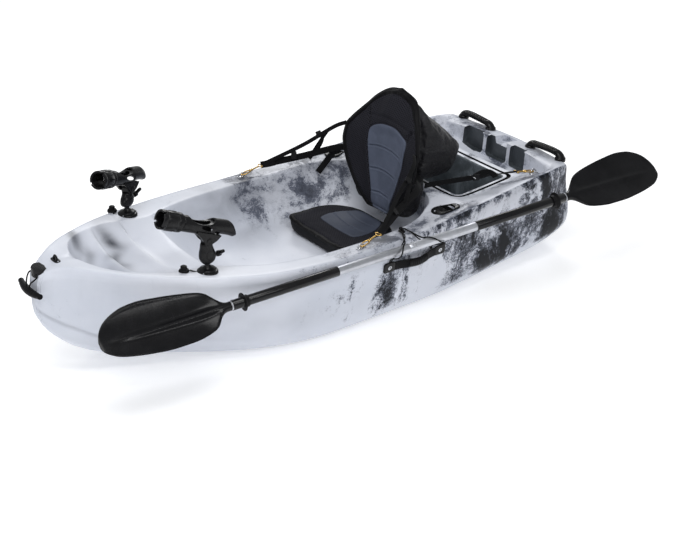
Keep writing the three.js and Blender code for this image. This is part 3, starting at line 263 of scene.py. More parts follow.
def circle(r, n, squash=1.0):
    return [(r * math.cos(2 * math.pi * i / n), r * squash * math.sin(2 * math.pi * i / n)) for i in range(n)]


def ribbon_section(w, t, r=0.9):
    """A webbing section with softly rounded edges."""
    out = []
    for cx, cy, a0 in ((w / 2 - r, -t / 2 + r, -90), (w / 2 - r, t / 2 - r, 0), (-w / 2 + r, t / 2 - r, 90), (-w / 2 + r, -t / 2 + r, 180)):
        for k in range(3):
            a = rad(a0 + 45 * k)
            out.append((cx + r * math.cos(a), cy + r * math.sin(a)))
    return out


def spline(points, n):
    """Centripetal Catmull-Rom, evenly spaced."""
    p = [np.array(q, float) for q in points]
    p = [2 * p[0] - p[1]] + p + [2 * p[-1] - p[-2]]
    dense = []
    for i in range(1, len(p) - 2):
        a, b, c, d = p[i - 1], p[i], p[i + 1], p[i + 2]
        t1 = max(1e-6, np.linalg.norm(b - a) ** 0.5)
        t2 = t1 + max(1e-6, np.linalg.norm(c - b) ** 0.5)
        t3 = t2 + max(1e-6, np.linalg.norm(d - c) ** 0.5)
        for k in range(24):
            t = t1 + (t2 - t1) * k / 24
            A1 = (t1 - t) / t1 * a + t / t1 * b
            A2 = (t2 - t) / (t2 - t1) * b + (t - t1) / (t2 - t1) * c
            A3 = (t3 - t) / (t3 - t2) * c + (t - t2) / (t3 - t2) * d
            B1 = (t2 - t) / t2 * A1 + t / t2 * A2
            B2 = (t3 - t) / (t3 - t1) * A2 + (t - t1) / (t3 - t1) * A3
            dense.append((t2 - t) / (t2 - t1) * B1 + (t - t1) / (t2 - t1) * B2)
    dense.append(p[-2])
    dense = np.array(dense)
    s = np.concatenate([[0], np.cumsum(np.linalg.norm(np.diff(dense, axis=0), axis=1))])
    at = np.linspace(0, s[-1], n + 1)
    return [np.array([np.interp(v, s, dense[:, k]) for k in range(3)]) for v in at]


def lathe(name, profile, n=40, material=None):
    """A profile of (radius, z) turned about Z. It starts and ends on the axis, or closes on itself. Millimetres."""
    pts = [tuple(map(float, q)) for q in profile]
    ringed = pts[0] == pts[-1]
    if ringed:
        pts = pts[:-1]
    verts, idx, faces = [], [], []
    for r, z in pts:
        if r < 1e-6:
            idx.append([len(verts)] * n)
            verts.append((0, 0, z / 1000))
        else:
            idx.append(list(range(len(verts), len(verts) + n)))
            verts += [(r * math.cos(2 * math.pi * i / n) / 1000, r * math.sin(2 * math.pi * i / n) / 1000, z / 1000) for i in range(n)]
    for k in range(len(pts) if ringed else len(pts) - 1):
        A, B = idx[k], idx[(k + 1) % len(pts)]
        for i in range(n):
            j = (i + 1) % n
            f = [A[i], A[j], B[j], B[i]]
            f = [v for q, v in enumerate(f) if v not in f[:q]]
            if len(f) > 2:
                faces.append(tuple(f))
    ob = mesh_object(name, verts, faces, material)
    # faces point out
    import bmesh
    bm = bmesh.new()
    bm.from_mesh(ob.data)
    bmesh.ops.recalc_face_normals(bm, faces=bm.faces)
    bm.to_mesh(ob.data)
    bm.free()
    return ob


def outward(ob):
    import bmesh
    bm = bmesh.new()
    bm.from_mesh(ob.data)
    bmesh.ops.remove_doubles(bm, verts=bm.verts, dist=1e-6)
    bmesh.ops.recalc_face_normals(bm, faces=bm.faces)
    bm.to_mesh(ob.data)
    bm.free()
    return ob


def prism(name, outline, z0, z1, material=None):
    """A flat outline in millimetres between two heights."""
    n = len(outline)
    verts = [(x / 1000, y / 1000, z / 1000) for z in (z0, z1) for x, y in outline]
    faces = [tuple(range(n - 1, -1, -1)), tuple(range(n, 2 * n))] + [(i, (i + 1) % n, n + (i + 1) % n, n + i) for i in range(n)]
    return outward(mesh_object(name, verts, faces, material, shade=False))


def box_object(name, size, at, material=None):
    x, y, z = (v / 2 for v in size)
    cx, cy, cz = at
    o = prism(name, [(cx - x, cy - y), (cx + x, cy - y), (cx + x, cy + y), (cx - x, cy + y)], cz - z, cz + z, material)
    return o


def rounded_rect(w, h, r, n=8):
    out = []
    for cx, cy, a0 in ((w / 2 - r, -h / 2 + r, -90), (w / 2 - r, h / 2 - r, 0), (-w / 2 + r, h / 2 - r, 90), (-w / 2 + r, -h / 2 + r, 180)):
        for k in range(n + 1):
            a = rad(a0 + 90 * k / n)
            out.append((cx + r * math.cos(a), cy + r * math.sin(a)))
    return out


def move(ob, *matrices):
    """Applies the matrices in order. Translations are in millimetres."""
    m = Matrix.Identity(4)
    for q in matrices:
        m = q @ m
    ob.data.transform(m)
    return ob


def T(x, y, z):
    return Matrix.Translation((x / 1000, y / 1000, z / 1000))


def RX(d):
    return Matrix.Rotation(rad(d), 4, "X")


def RY(d):
    return Matrix.Rotation(rad(d), 4, "Y")


def RZ(d):
    return Matrix.Rotation(rad(d), 4, "Z")


def S(x, y, z):
    return Matrix.Diagonal((x, y, z, 1))


def edge_soften(ob, width=0.0008, segments=2, angle=32):
    """Rounds the sharp edges and shades the rest smooth."""
    m = ob.modifiers.new("edges", "BEVEL")
    m.width = width
    m.segments = segments
    m.limit_method = "ANGLE"
    m.angle_limit = rad(angle)
    m.use_clamp_overlap = True
    m.harden_normals = False
    me = ob.data
    me.polygons.foreach_set("use_smooth", [True] * len(me.polygons))
    me.update()
    return ob


def mark_sharp(ob, angle=38):
    """Smooth shading that stops at corners sharper than the angle."""
    import bmesh
    bm = bmesh.new()
    bm.from_mesh(ob.data)
    for e in bm.edges:
        if len(e.link_faces) == 2:
            e.smooth = e.calc_face_angle(0) < rad(angle)
        else:
            e.smooth = False
    for f in bm.faces:
        f.smooth = True
    bm.to_mesh(ob.data)
    bm.free()
    return ob


def join(name, objects):
    import bmesh
    bm = bmesh.new()
    mats = []
    for o in objects:
        for m in o.data.materials:
            if m not in mats:
                mats.append(m)
    for o in objects:
        start = len(bm.faces)
        bm.from_mesh(o.data)
        bm.faces.ensure_lookup_table()
        for f in bm.faces[start:]:
            m = o.data.materials[f.material_index] if o.data.materials else None
            f.material_index = mats.index(m) if m else 0
    me = bpy.data.meshes.new(name)
    bm.to_mesh(me)
    bm.free()
    for m in mats:
        me.materials.append(m)
    ob = bpy.data.objects.new(name, me)
    scene.collection.objects.link(ob)
    for o in objects:
        bpy.data.objects.remove(o)
    return ob


def rounded(ob, voxel=0.0012, rounds=4):
    """Remeshes a joined shape evenly and relaxes it, so that all of its edges are moulded soft."""
    m = ob.modifiers.new("even", "REMESH")
    m.mode = "VOXEL"
    m.voxel_size = voxel
    m.use_smooth_shade = True
    s = ob.modifiers.new("soft", "CORRECTIVE_SMOOTH")
    s.iterations = rounds
    s.use_only_smooth = True
    s.factor = 0.5
    return apply_modifiers(ob)


# ------------------------------------------------------------------ materials
class Mat:
    """A node material and short ways to add nodes to it."""

    def __init__(self, name):
        self.m = bpy.data.materials.new(name)
        self.m.use_nodes = True
        self.nt = self.m.node_tree
        self.b = self.nt.nodes["Principled BSDF"]
        self.coord = self.nt.nodes.new("ShaderNodeTexCoord")
        self.obj = self.coord.outputs["Object"]

    def node(self, kind, inputs=None, **props):
        n = self.nt.nodes.new("ShaderNode" + kind)
        for k, v in props.items():
            setattr(n, k, v)
        for k, v in (inputs or {}).items():
            s = n.inputs[k]
            if hasattr(v, "is_output") or isinstance(v, bpy.types.NodeSocket):
                self.nt.links.new(v, s)
            else:
                s.default_value = v
        return n

    def set(self, **values):
        for k, v in values.items():
            s = self.b.inputs[k.replace("_", " ")]
            if isinstance(v, bpy.types.NodeSocket):
                self.nt.links.new(v, s)
            else:
                s.default_value = v
        return self

    def math(self, op, a, b=None, c=None, clamp=False):
        n = self.nt.nodes.new("ShaderNodeMath")
        n.operation = op
        n.use_clamp = clamp
        for i, v in enumerate((a, b, c)):
            if v is None:
                continue
            if isinstance(v, bpy.types.NodeSocket):
                self.nt.links.new(v, n.inputs[i])
            else:
                n.inputs[i].default_value = v
        return n.outputs[0]

    def mapping(self, scale=(1, 1, 1), rotation=(0, 0, 0), vec=None, location=(0, 0, 0)):
        n = self.node("Mapping", {"Vector": vec or self.obj, "Scale": scale, "Rotation": rotation, "Location": location})
        return n.outputs[0]

    def noise(self, scale, detail=4, rough=0.5, distortion=0, vec=None, lac=2.0):
        n = self.node("TexNoise", {"Vector": vec or self.obj, "Scale": scale, "Detail": detail, "Roughness": rough, "Distortion": distortion, "Lacunarity": lac})
        return n.outputs["Fac"]

    def voronoi(self, scale, vec=None, feature="F1", randomness=1.0, out="Distance"):
        n = self.node("TexVoronoi", {"Vector": vec or self.obj, "Scale": scale, "Randomness": randomness}, feature=feature)
        return n.outputs[out]

    def ramp(self, fac, stops, interp="LINEAR"):
        n = self.nt.nodes.new("ShaderNodeValToRGB")
        n.color_ramp.interpolation = interp
        el = n.color_ramp.elements
        el[0].position, el[1].position = stops[0][0], stops[-1][0]
        for i, (pos, col) in enumerate(stops):
            e = el[i] if i == 0 else (el[len(el) - 1] if i == len(stops) - 1 else el.new(pos))
            e.color = (*col, 1) if not isinstance(col, (int, float)) else (col, col, col, 1)
        self.nt.links.new(fac, n.inputs[0])
        return n.outputs[0]

    def mixc(self, fac, a, b, blend="MIX"):
        n = self.nt.nodes.new("ShaderNodeMix")
        n.data_type = "RGBA"
        n.blend_type = blend
        for s, v in ((n.inputs[0], fac), (n.inputs[6], a), (n.inputs[7], b)):
            if isinstance(v, bpy.types.NodeSocket):
                self.nt.links.new(v, s)
            elif isinstance(v, (int, float)):
                s.default_value = v
            else:
                s.default_value = (*v, 1)
        return n.outputs[2]

    def bump(self, height, strength=0.3, distance=0.001, normal=None):
        ins = {"Height": height, "Strength": strength, "Distance": distance}
        if normal:
            ins["Normal"] = normal
        return self.node("Bump", ins).outputs[0]

    def attr(self, name):
        return self.node("Attribute", attribute_name=name).outputs["Fac"]

    def hexes(self, pitch, a, b, vec=None):
        """Honeycomb: high on the threads and low in the holes. a and b are the two directions across the cloth."""
        v = vec or self.obj
        k = 2 * math.pi / (pitch * 0.866)
        terms = []
        for deg in (0, 60, 120):
            d = [k * (a[i] * math.cos(rad(deg)) + b[i] * math.sin(rad(deg))) for i in range(3)]
            dot = self.node("VectorMath", {0: v, 1: d}, operation="DOT_PRODUCT").outputs["Value"]
            terms.append(self.math("COSINE", dot))
        s = self.math("ADD", self.math("ADD", terms[0], terms[1]), terms[2])
        return self.math("MULTIPLY_ADD", s, -0.222, 0.667, clamp=True)


def plastic(name, color, rough=0.42, grain=900, strength=0.12, wear=0.35, spec=0.12):
    k = Mat(name)
    big = k.noise(14, 3, 0.6)
    fine = k.noise(grain, 2, 0.5)
    col = k.mixc(k.ramp(big, [(0.35, 0.0), (0.75, 1.0)]), color, [min(1, c * 1.5 + 0.004) for c in color])
    scuff = k.noise(60, 6, 0.75, 1.5)
    mask = k.ramp(scuff, [(0.60, 0.0), (0.72, 1.0)])
    col = k.mixc(k.math("MULTIPLY", mask, wear * 0.2), col, [c + 0.02 for c in color])
    r = k.math("MULTIPLY_ADD", fine, 0.12, rough - 0.06)
    r = k.math("MULTIPLY_ADD", mask, wear * 0.25, r, clamp=True)
    k.set(Base_Color=col, Roughness=r, Normal=k.bump(fine, strength, 0.0004), Specular_IOR_Level=spec)
    return k.m


def metal(name, color, rough=0.22, axis=(1, 1, 1), strength=0.05, scale=300):
    k = Mat(name)
    v = k.mapping(scale=axis)
    n = k.noise(scale, 4, 0.6, vec=v)
    dull = k.noise(25, 5, 0.6)
    col = k.mixc(k.ramp(dull, [(0.4, 0.0), (0.8, 1.0)]), color, [c * 0.72 for c in color])
    r = k.math("MULTIPLY_ADD", n, 0.14, rough - 0.05)
    r = k.math("MULTIPLY_ADD", dull, 0.14, k.math("ADD", r, -0.06), clamp=True)
    k.set(Base_Color=col, Metallic=1.0, Roughness=r, Normal=k.bump(n, strength, 0.0003))
    return k.m


def woven(name, color, pitch=0.0022, strength=0.6, rough=0.8, sheen=0.06):
    """Webbing or tape: a twill of fine threads in object space."""
    k = Mat(name)
    f = 2 * math.pi / pitch
    waves = []
    for d in ((1, 0.35, 0.5), (-0.4, 1, 0.6), (0.3, -0.6, 1)):
        dot = k.node("VectorMath", {0: k.obj, 1: [f * c * 0.7 for c in d]}, operation="DOT_PRODUCT").outputs["Value"]
        waves.append(k.math("SINE", dot))
    w = k.math("MULTIPLY_ADD", k.math("ADD", k.math("MULTIPLY", waves[0], waves[1]), waves[2]), 0.25, 0.5, clamp=True)
    fluff = k.noise(420, 3, 0.6)
    h = k.math("MULTIPLY_ADD", fluff, 0.4, w)
    tone = k.noise(30, 4, 0.6)
    col = k.mixc(w, [c * 0.55 for c in color], [c * 1.45 for c in color])
    col = k.mixc(k.ramp(tone, [(0.4, 0.0), (0.75, 0.5)]), col, [c * 1.8 + 0.001 for c in color])
    k.set(Base_Color=col, Roughness=rough, Sheen_Weight=sheen, Sheen_Roughness=0.5, Specular_IOR_Level=0.10, Normal=k.bump(h, strength, 0.0005))
    return k.m


BLACK = (0.0028, 0.0028, 0.0034)
M = {}
M["black"] = plastic("black_moulded", BLACK, 0.27, 900, 0.07, 0.25, 0.22)
M["rubber"] = plastic("black_rubber", (0.0030, 0.0030, 0.0036), 0.52, 700, 0.2, 0.2, 0.12)
M["sleeve"] = plastic("sleeve_gloss", (0.0022, 0.0022, 0.0028), 0.2, 500, 0.04, 0.1, 0.28)
M["blade"] = plastic("blade_satin", (0.0026, 0.0026, 0.0034), 0.19, 1100, 0.05, 0.2, 0.20)
M["steel"] = metal("stainless_bright", (0.48, 0.49, 0.52), 0.22)
M["alu"] = metal("aluminium_drawn", (0.54, 0.555, 0.595), 0.34, axis=(0.06, 1, 1), strength=0.04, scale=900)
M["brass"] = metal("brass_bright", (0.62, 0.40, 0.13), 0.22)
M["webbing"] = woven("webbing_black", (0.0034, 0.0034, 0.0040))
M["cord"] = woven("cord_braided", (0.0034, 0.0034, 0.0040), 0.0016, 0.7)
M["tape"] = woven("binding_tape", (0.0034, 0.0034, 0.0042), 0.0014, 0.4, 0.75)


def hull_material():
    k = Mat("hull_marbled")
    smoke = k.attr("smoke")
    streak = k.attr("streak")
    # cloudy marbling on the deck, drawn-out swirls on the sides
    warpv = k.node("TexNoise", {"Vector": k.obj, "Scale": 3.4, "Detail": 6.0, "Roughness": 0.62}).outputs["Color"]
    off = k.node("VectorMath", {0: warpv, 1: (0.5, 0.5, 0.5)}, operation="SUBTRACT").outputs[0]
    v = k.node("VectorMath", {0: off, 1: (0.30, 0.30, 0.20), 2: k.obj}, operation="MULTIPLY_ADD").outputs[0]
    side = k.mapping(scale=(1.25, 1.0, 0.20), vec=v)
    cloud = k.noise(4.6, 10, 0.66, 0.5, vec=v)
    swirl = k.noise(9.5, 11, 0.70, 1.2, vec=side)
    pick = k.mixc(streak, cloud, swirl)
    middle = k.noise(42, 6, 0.72, 0.6)
    dust = k.noise(230, 4, 0.75)
    f = k.math("MULTIPLY_ADD", k.math("ADD", pick, -0.5), 3.1, 0.5)
    # the deck and cockpit are smeared, the outer sides are speckled
    soft = k.math("SUBTRACT", 1.0, streak)
    f = k.math("MULTIPLY_ADD", k.math("ADD", middle, -0.5), k.math("MULTIPLY_ADD", soft, -0.50, 1.2), f)
    f = k.math("MULTIPLY_ADD", k.math("ADD", dust, -0.5), k.math("MULTIPLY_ADD", soft, -0.40, 1.05), f)
    f = k.math("ADD", f, k.math("ADD", smoke, -0.78))
    white = k.mixc(k.ramp(k.noise(2.2, 4, 0.6), [(0.35, 0.0), (0.7, 1.0)]), (0.66, 0.68, 0.745), (0.56, 0.59, 0.665))
    grey = (0.150, 0.165, 0.215)
    dark = (0.0060, 0.0070, 0.0100)
    light = k.ramp(f, [(0.22, 0.0), (0.42, 0.28), (0.60, 1.0)])
    deep = k.ramp(f, [(0.50, 0.0), (0.72, 0.62), (0.90, 1.0)])
    deep = k.math("MULTIPLY", deep, k.math("MULTIPLY_ADD", soft, -0.34, 1.0))
    base = k.mixc(deep, k.mixc(light, white, grey), dark)
    # grey smears over the deck and cockpit; in the bow footwell steps, in front of the seat base's near side and under
    # the side crease this mask is painted shade
    haze = k.math("MULTIPLY", k.attr("haze"), k.math("MULTIPLY_ADD", k.noise(11, 4, 0.55, 0.5), 1.6, 0.2), clamp=True)
    base = k.mixc(haze, base, (0.055, 0.060, 0.074))
    peel = k.noise(55, 3, 0.5)
    fine = k.noise(700, 2, 0.5)
    r = k.math("MULTIPLY_ADD", peel, 0.14, 0.30)
    scratch = k.ramp(k.noise(9, 8, 0.8, 3.0, vec=k.mapping(scale=(0.4, 2.2, 1))), [(0.49, 0.0), (0.5, 1.0), (0.51, 0.0)])
    r = k.math("MULTIPLY_ADD", scratch, 0.10, r, clamp=True)
    h = k.math("MULTIPLY_ADD", fine, 0.12, peel)
    k.set(Base_Color=base, Roughness=r, Normal=k.bump(h, 0.16, 0.0012), Specular_IOR_Level=k.math("MULTIPLY_ADD", deep, -0.24, 0.34))
    return k.m


def slate_plastic(name="hull_slate", painted_light_gain=1.0):
    k = Mat(name)
    n = k.noise(7, 8, 0.65, 0.8)
    d = k.noise(240, 3, 0.7)
    f = k.math("MULTIPLY_ADD", d, 0.25, n)
    # the gain scales every colour; the hatch well's copy at 1.9 is painted light, standing in for light in the shaded
    # well
    col = k.ramp(f, [(t, tuple(c * painted_light_gain for c in rgb)) for t, rgb in ((0.50, (0.030, 0.036, 0.042)), (0.66, (0.048, 0.056, 0.064)), (0.86, (0.13, 0.15, 0.17)))])
    peel = k.noise(55, 3, 0.5)
    k.set(Base_Color=col, Roughness=k.math("MULTIPLY_ADD", peel, 0.15, 0.32), Normal=k.bump(peel, 0.14, 0.0012))
    return k.m


M["gasket"] = plastic("gasket_black", (0.0040, 0.0040, 0.0048), 0.5, 700, 0.1, 0.1, 0.12)
M["hull"] = hull_material()
M["slate"] = slate_plastic()
# a lighter copy of the slate for the hatch well: painted light
M["well"] = slate_plastic("well_slate", 1.9)


# ------------------------------------------------------------------ hull
def hull_sections(xs):
    n_side, n_top, n_bowl = 6, 16, 46
    halves = []
    for x in xs:
        o = outside(x)
        w, yi = float(crestW(x)), float(innerY(x))
        ctrl = np.vstack([[-o[1][0], o[1][1]], o, [w, float(deck(x, w))], [w - 0.5 * (w - yi), float(deck(x, w - 0.5 * (w - yi)))]])
        t = np.concatenate([[0], np.cumsum(np.maximum(1e-3, np.linalg.norm(np.diff(ctrl, axis=0), axis=1)))])
        tan = np.zeros_like(ctrl)
        tan[1:-1] = (ctrl[2:] - ctrl[:-2]) / (t[2:] - t[:-2])[:, None]
        pts = []
        for i in range(1, len(ctrl) - 2):
            h = t[i + 1] - t[i]
            for k in range(n_side):
                s = k / n_side
                pts.append((1 + 2 * s) * (1 - s) ** 2 * ctrl[i] + h * s * (1 - s) ** 2 * tan[i] + s * s * (3 - 2 * s) * ctrl[i + 1] + h * s * s * (s - 1) * tan[i + 1])
        pts = np.array(pts)
        pts[:, 1] = np.maximum(pts[:, 1], float(keelZ(x)))
        ys = list(np.linspace(w, yi, n_top, endpoint=False)) + [yi * (1 - (k / n_bowl) ** 1.7) for k in range(n_bowl + 1)]
        top = np.stack([ys, deck(x, np.array(ys))], -1)
        halves.append(np.vstack([pts, top]))
    return np.array(halves)


def relax_lines(a, sigma, mirror):
    """Smooths rows of points by a Gaussian over their own length, in millimetres."""
    out = a.copy()
    for i in range(a.shape[0]):
        row = a[i]
        n = len(row)
        if mirror:
            left, right = row[1:][::-1].copy(), row[:-1][::-1].copy()
            left[:, -2] *= -1
            right[:, -2] *= -1
            ext = np.vstack([left, row, right])
            o = n - 1
        else:
            ext, o = row, 0
        seg = np.linalg.norm(np.diff(ext, axis=0), axis=1)
        s = np.concatenate([[0], np.cumsum(seg)])
        wt = np.zeros(len(ext))
        wt[:-1] += seg / 2
        wt[1:] += seg / 2
        g = np.exp(-((s[o:o + n, None] - s[None, :]) ** 2) / (2 * sigma * sigma)) * wt[None, :]
        out[i] = (g @ ext) / g.sum(1, keepdims=True)
    return out


def outer_beam(x):
    return chineY(np.clip(x, -1000, 1000))


CREASE = table([(-700, 60), (-300, 52), (100, 52), (357, 83), (486, 98), (700, 122), (854, 148), (899, 173), (944, 200), (983, 229), (1014, 258)])


def make_hull():
    marks = {float(x) for x in np.arange(-1000, 1000.1, 10)}
    for a, b, step in ((-916, -888, 2.5), (-870, -858, 4), (-830, -784, 3), (-520, -400, 3), (440, 486, 3), (586, 610, 2.5), (700, 732, 3), (820, 900, 4), (-400, -240, 5), (960, 1000, 4)):
        marks |= {float(x) for x in np.arange(a, b, step)}
    xs = sorted(marks)
    keep = [xs[0]]
    for x in xs[1:]:
        if x - keep[-1] > 1.6 or x == 1000.0:
            keep.append(x)
    xs = keep
    half = hull_sections(xs)
    half = relax_lines(half, 5.0, True)
    pts = np.concatenate([np.broadcast_to(np.array(xs)[:, None, None], (*half.shape[:2], 1)), half], -1)
    lines = relax_lines(pts.transpose(1, 0, 2), 4.0, False).transpose(1, 0, 2)
    fade = (smooth(-1000, -985, np.array(xs)) * (1 - smooth(985, 1000, np.array(xs))))[:, None, None]
    pts[..., 1:] = pts[..., 1:] * (1 - fade) + lines[..., 1:] * fade
    pts[:, 0, 1] = 0
    pts[:, -1, 1] = 0

    def shrunk(row, x, amount):
        y, z = row[:, 1], row[:, 2]
        zm = (z.min() + z.max()) / 2
        k = np.maximum(0, 1 - amount / np.maximum(30, np.hypot(y, z - zm)))
        return np.stack([np.full(len(y), x), y * k, zm + (z - zm) * k], -1)

    rings = []
    R = 17
    for k in range(12):
        a = math.pi / 2 * (1 - k / 12)
        t = math.sin(a)
        x = -985 - 19 * t
        j = 0 if x <= -1000 else min(range(len(xs)), key=lambda i: abs(xs[i] - x))
        rings.append(shrunk(pts[j], x, R * (1 - math.cos(a))))
    for i, x in enumerate(xs):
        if -984 < x < 989:
            rings.append(pts[i])
    for k in range(12):
        a = math.pi / 2 * (k + 1) / 12
        t = math.sin(a)
        x = 988 + 13.5 * t
        j = min(range(len(xs)), key=lambda i: abs(xs[i] - min(1000, x)))
        rings.append(shrunk(pts[j], x, 10 * (1 - math.cos(a))))
    rings = [np.vstack([r, (r[1:-1] * [1, -1, 1])[::-1]]) for r in rings]

    def inner(r):
        c = np.array([r[0, 0], 0, (r[:, 2].min() + r[:, 2].max()) / 2])
        return [c + (r - c) * k for k in (0.94, 0.8, 0.6, 0.35, 0.12)]

    rings = inner(rings[0])[::-1] + rings + inner(rings[-1])
    rings = [warp(r) for r in rings]
    hull = loft("hull_shell", rings, M["hull"])
    co = np.zeros(len(hull.data.vertices) * 3)
    hull.data.vertices.foreach_get("co", co)
    co = co.reshape(-1, 3) * 1000
    crease = CREASE
    upper = table([(-900, 318), (-400, 290), (100, 272), (486, 300), (700, 326), (856, 344), (947, 352), (1014, 350)])
    on = (np.abs(co[:, 1]) > 12) & (co[:, 0] > -880)
    d1 = (co[:, 2] - crease(co[:, 0])) / 7.0
    d2 = (co[:, 2] - upper(co[:, 0])) / 8.0
    fade = smooth(100, 420, co[:, 0])
    dip = (4.6 * np.exp(-d1 ** 2) * (0.25 + 0.75 * fade) + 2.6 * np.exp(-d2 ** 2) * fade) * on * (np.abs(co[:, 1]) > 0.72 * outer_beam(co[:, 0]))
    co[:, 1] -= np.sign(co[:, 1]) * dip
    hull.data.vertices.foreach_set("co", (co / 1000).ravel())
    hull.data.update()

    # hatch well, gasket groove, pour notch, transom panels, tube holes and drain
    def trapezoid(grow, draft=0.0, n=9):
        f, a = -522 + grow - draft, -748 - grow + draft
        hf, ha = 207 + grow - draft, 199 + grow - draft
        r = 16 + max(-8, grow * 0.6)
        out = []
        for cx, cy, start in ((f, -hf, -90), (f, hf, 0), (a, ha, 90), (a, -ha, 180)):
            for i in range(n + 1):
                t = rad(start + 90 * i / n)
                sx = -1 if cx > (f + a) / 2 else 1
                sy = -1 if cy > 0 else 1
                out.append((cx + sx * r + r * math.cos(t), cy + sy * r + r * math.sin(t)))
        return out

    coaming = lambda x: mix(309, 322, (x + 540) / (-250))
    level = lambda outline, z: [(x, y, z) for x, y in outline]
    tilted = lambda outline, z: [(x, y, coaming(x) + z) for x, y in outline]
    rings = [level(trapezoid(0, 26), 78), level(trapezoid(0, 18), 79.5), level(trapezoid(0, 14.5), 84), level(trapezoid(0, 13.5), 92)]
    rings += [level(trapezoid(0, 13.5 * (1 - t)), mix(92, 296, t)) for t in (0.25, 0.5, 0.75)]
    rings += [tilted(trapezoid(0), -9), tilted(trapezoid(0.5), -5), tilted(trapezoid(1.6), -2), tilted(trapezoid(3.4), 0.2), tilted(trapezoid(6), 1.6), tilted(trapezoid(6), 60)]
    # the well's walls take the lighter slate copy, painted light in the shaded well
    cut = loft("well", rings, M["well"])
    boolean(hull, cut, material="TRANSFER")
    section = [(16.6, 2.2), (17.8, 0.2), (18.4, -2), (18.8, -6), (20, -7), (27, -7), (28.2, -6), (28.6, -2), (29.2, 0.2), (30.4, 2.2), (30.4, 50), (16.6, 50)]
    base = [trapezoid(g) for g, _ in section]
    n = len(base[0])
    verts = [(base[k][i][0] / 1000, base[k][i][1] / 1000, (coaming(base[k][i][0]) + section[k][1]) / 1000) for i in range(n) for k in range(len(section))]
    m = len(section)
    faces = [(i * m + k, ((i + 1) % n) * m + k, ((i + 1) % n) * m + (k + 1) % m, i * m + (k + 1) % m) for i in range(n) for k in range(m)]
    boolean(hull, outward(mesh_object("groove", verts, faces, M["gasket"])), material="TRANSFER")
    notch = loft("notch", [
        [(-890, -27, 338), (-890, 27, 338), (-966, 27, 338), (-966, -27, 338)],
        [(-888, -30, 341), (-888, 30, 341), (-968, 30, 341), (-968, -30, 341)],
        [(-888, -46, 400), (-888, 46, 400), (-972, 46, 400), (-972, -46, 400)]], M["hull"])
    boolean(hull, outward(notch))
    for a, b in ((-192, -84), (-67, 47), (65, 150)):
        p = prism("panel", rounded_rect(b - a, 82, 15), 0, 30, M["slate"])
        move(p, RY(-90), RX(90), T(-888, (a + b) / 2, 324))
        boolean(hull, p, material="TRANSFER")
    flush_z = float(deck(-374, 320))
    for side in (1, -1):
        hole = lathe("hole", [(0, -193), (25.2, -193), (25.2, 60), (0, 60)], 40, M["hull"])
        move(hole, RY(-26), RX(side * -5), T(-374, side * 320, flush_z))
        boolean(hull, hole)
    drain = lathe("drain", [(0, -30), (9, -30), (9, 30), (0, 30)], 32, M["hull"])
    move(drain, RY(90), T(-1000, 0, 96))
    boolean(hull, drain)
    return hull


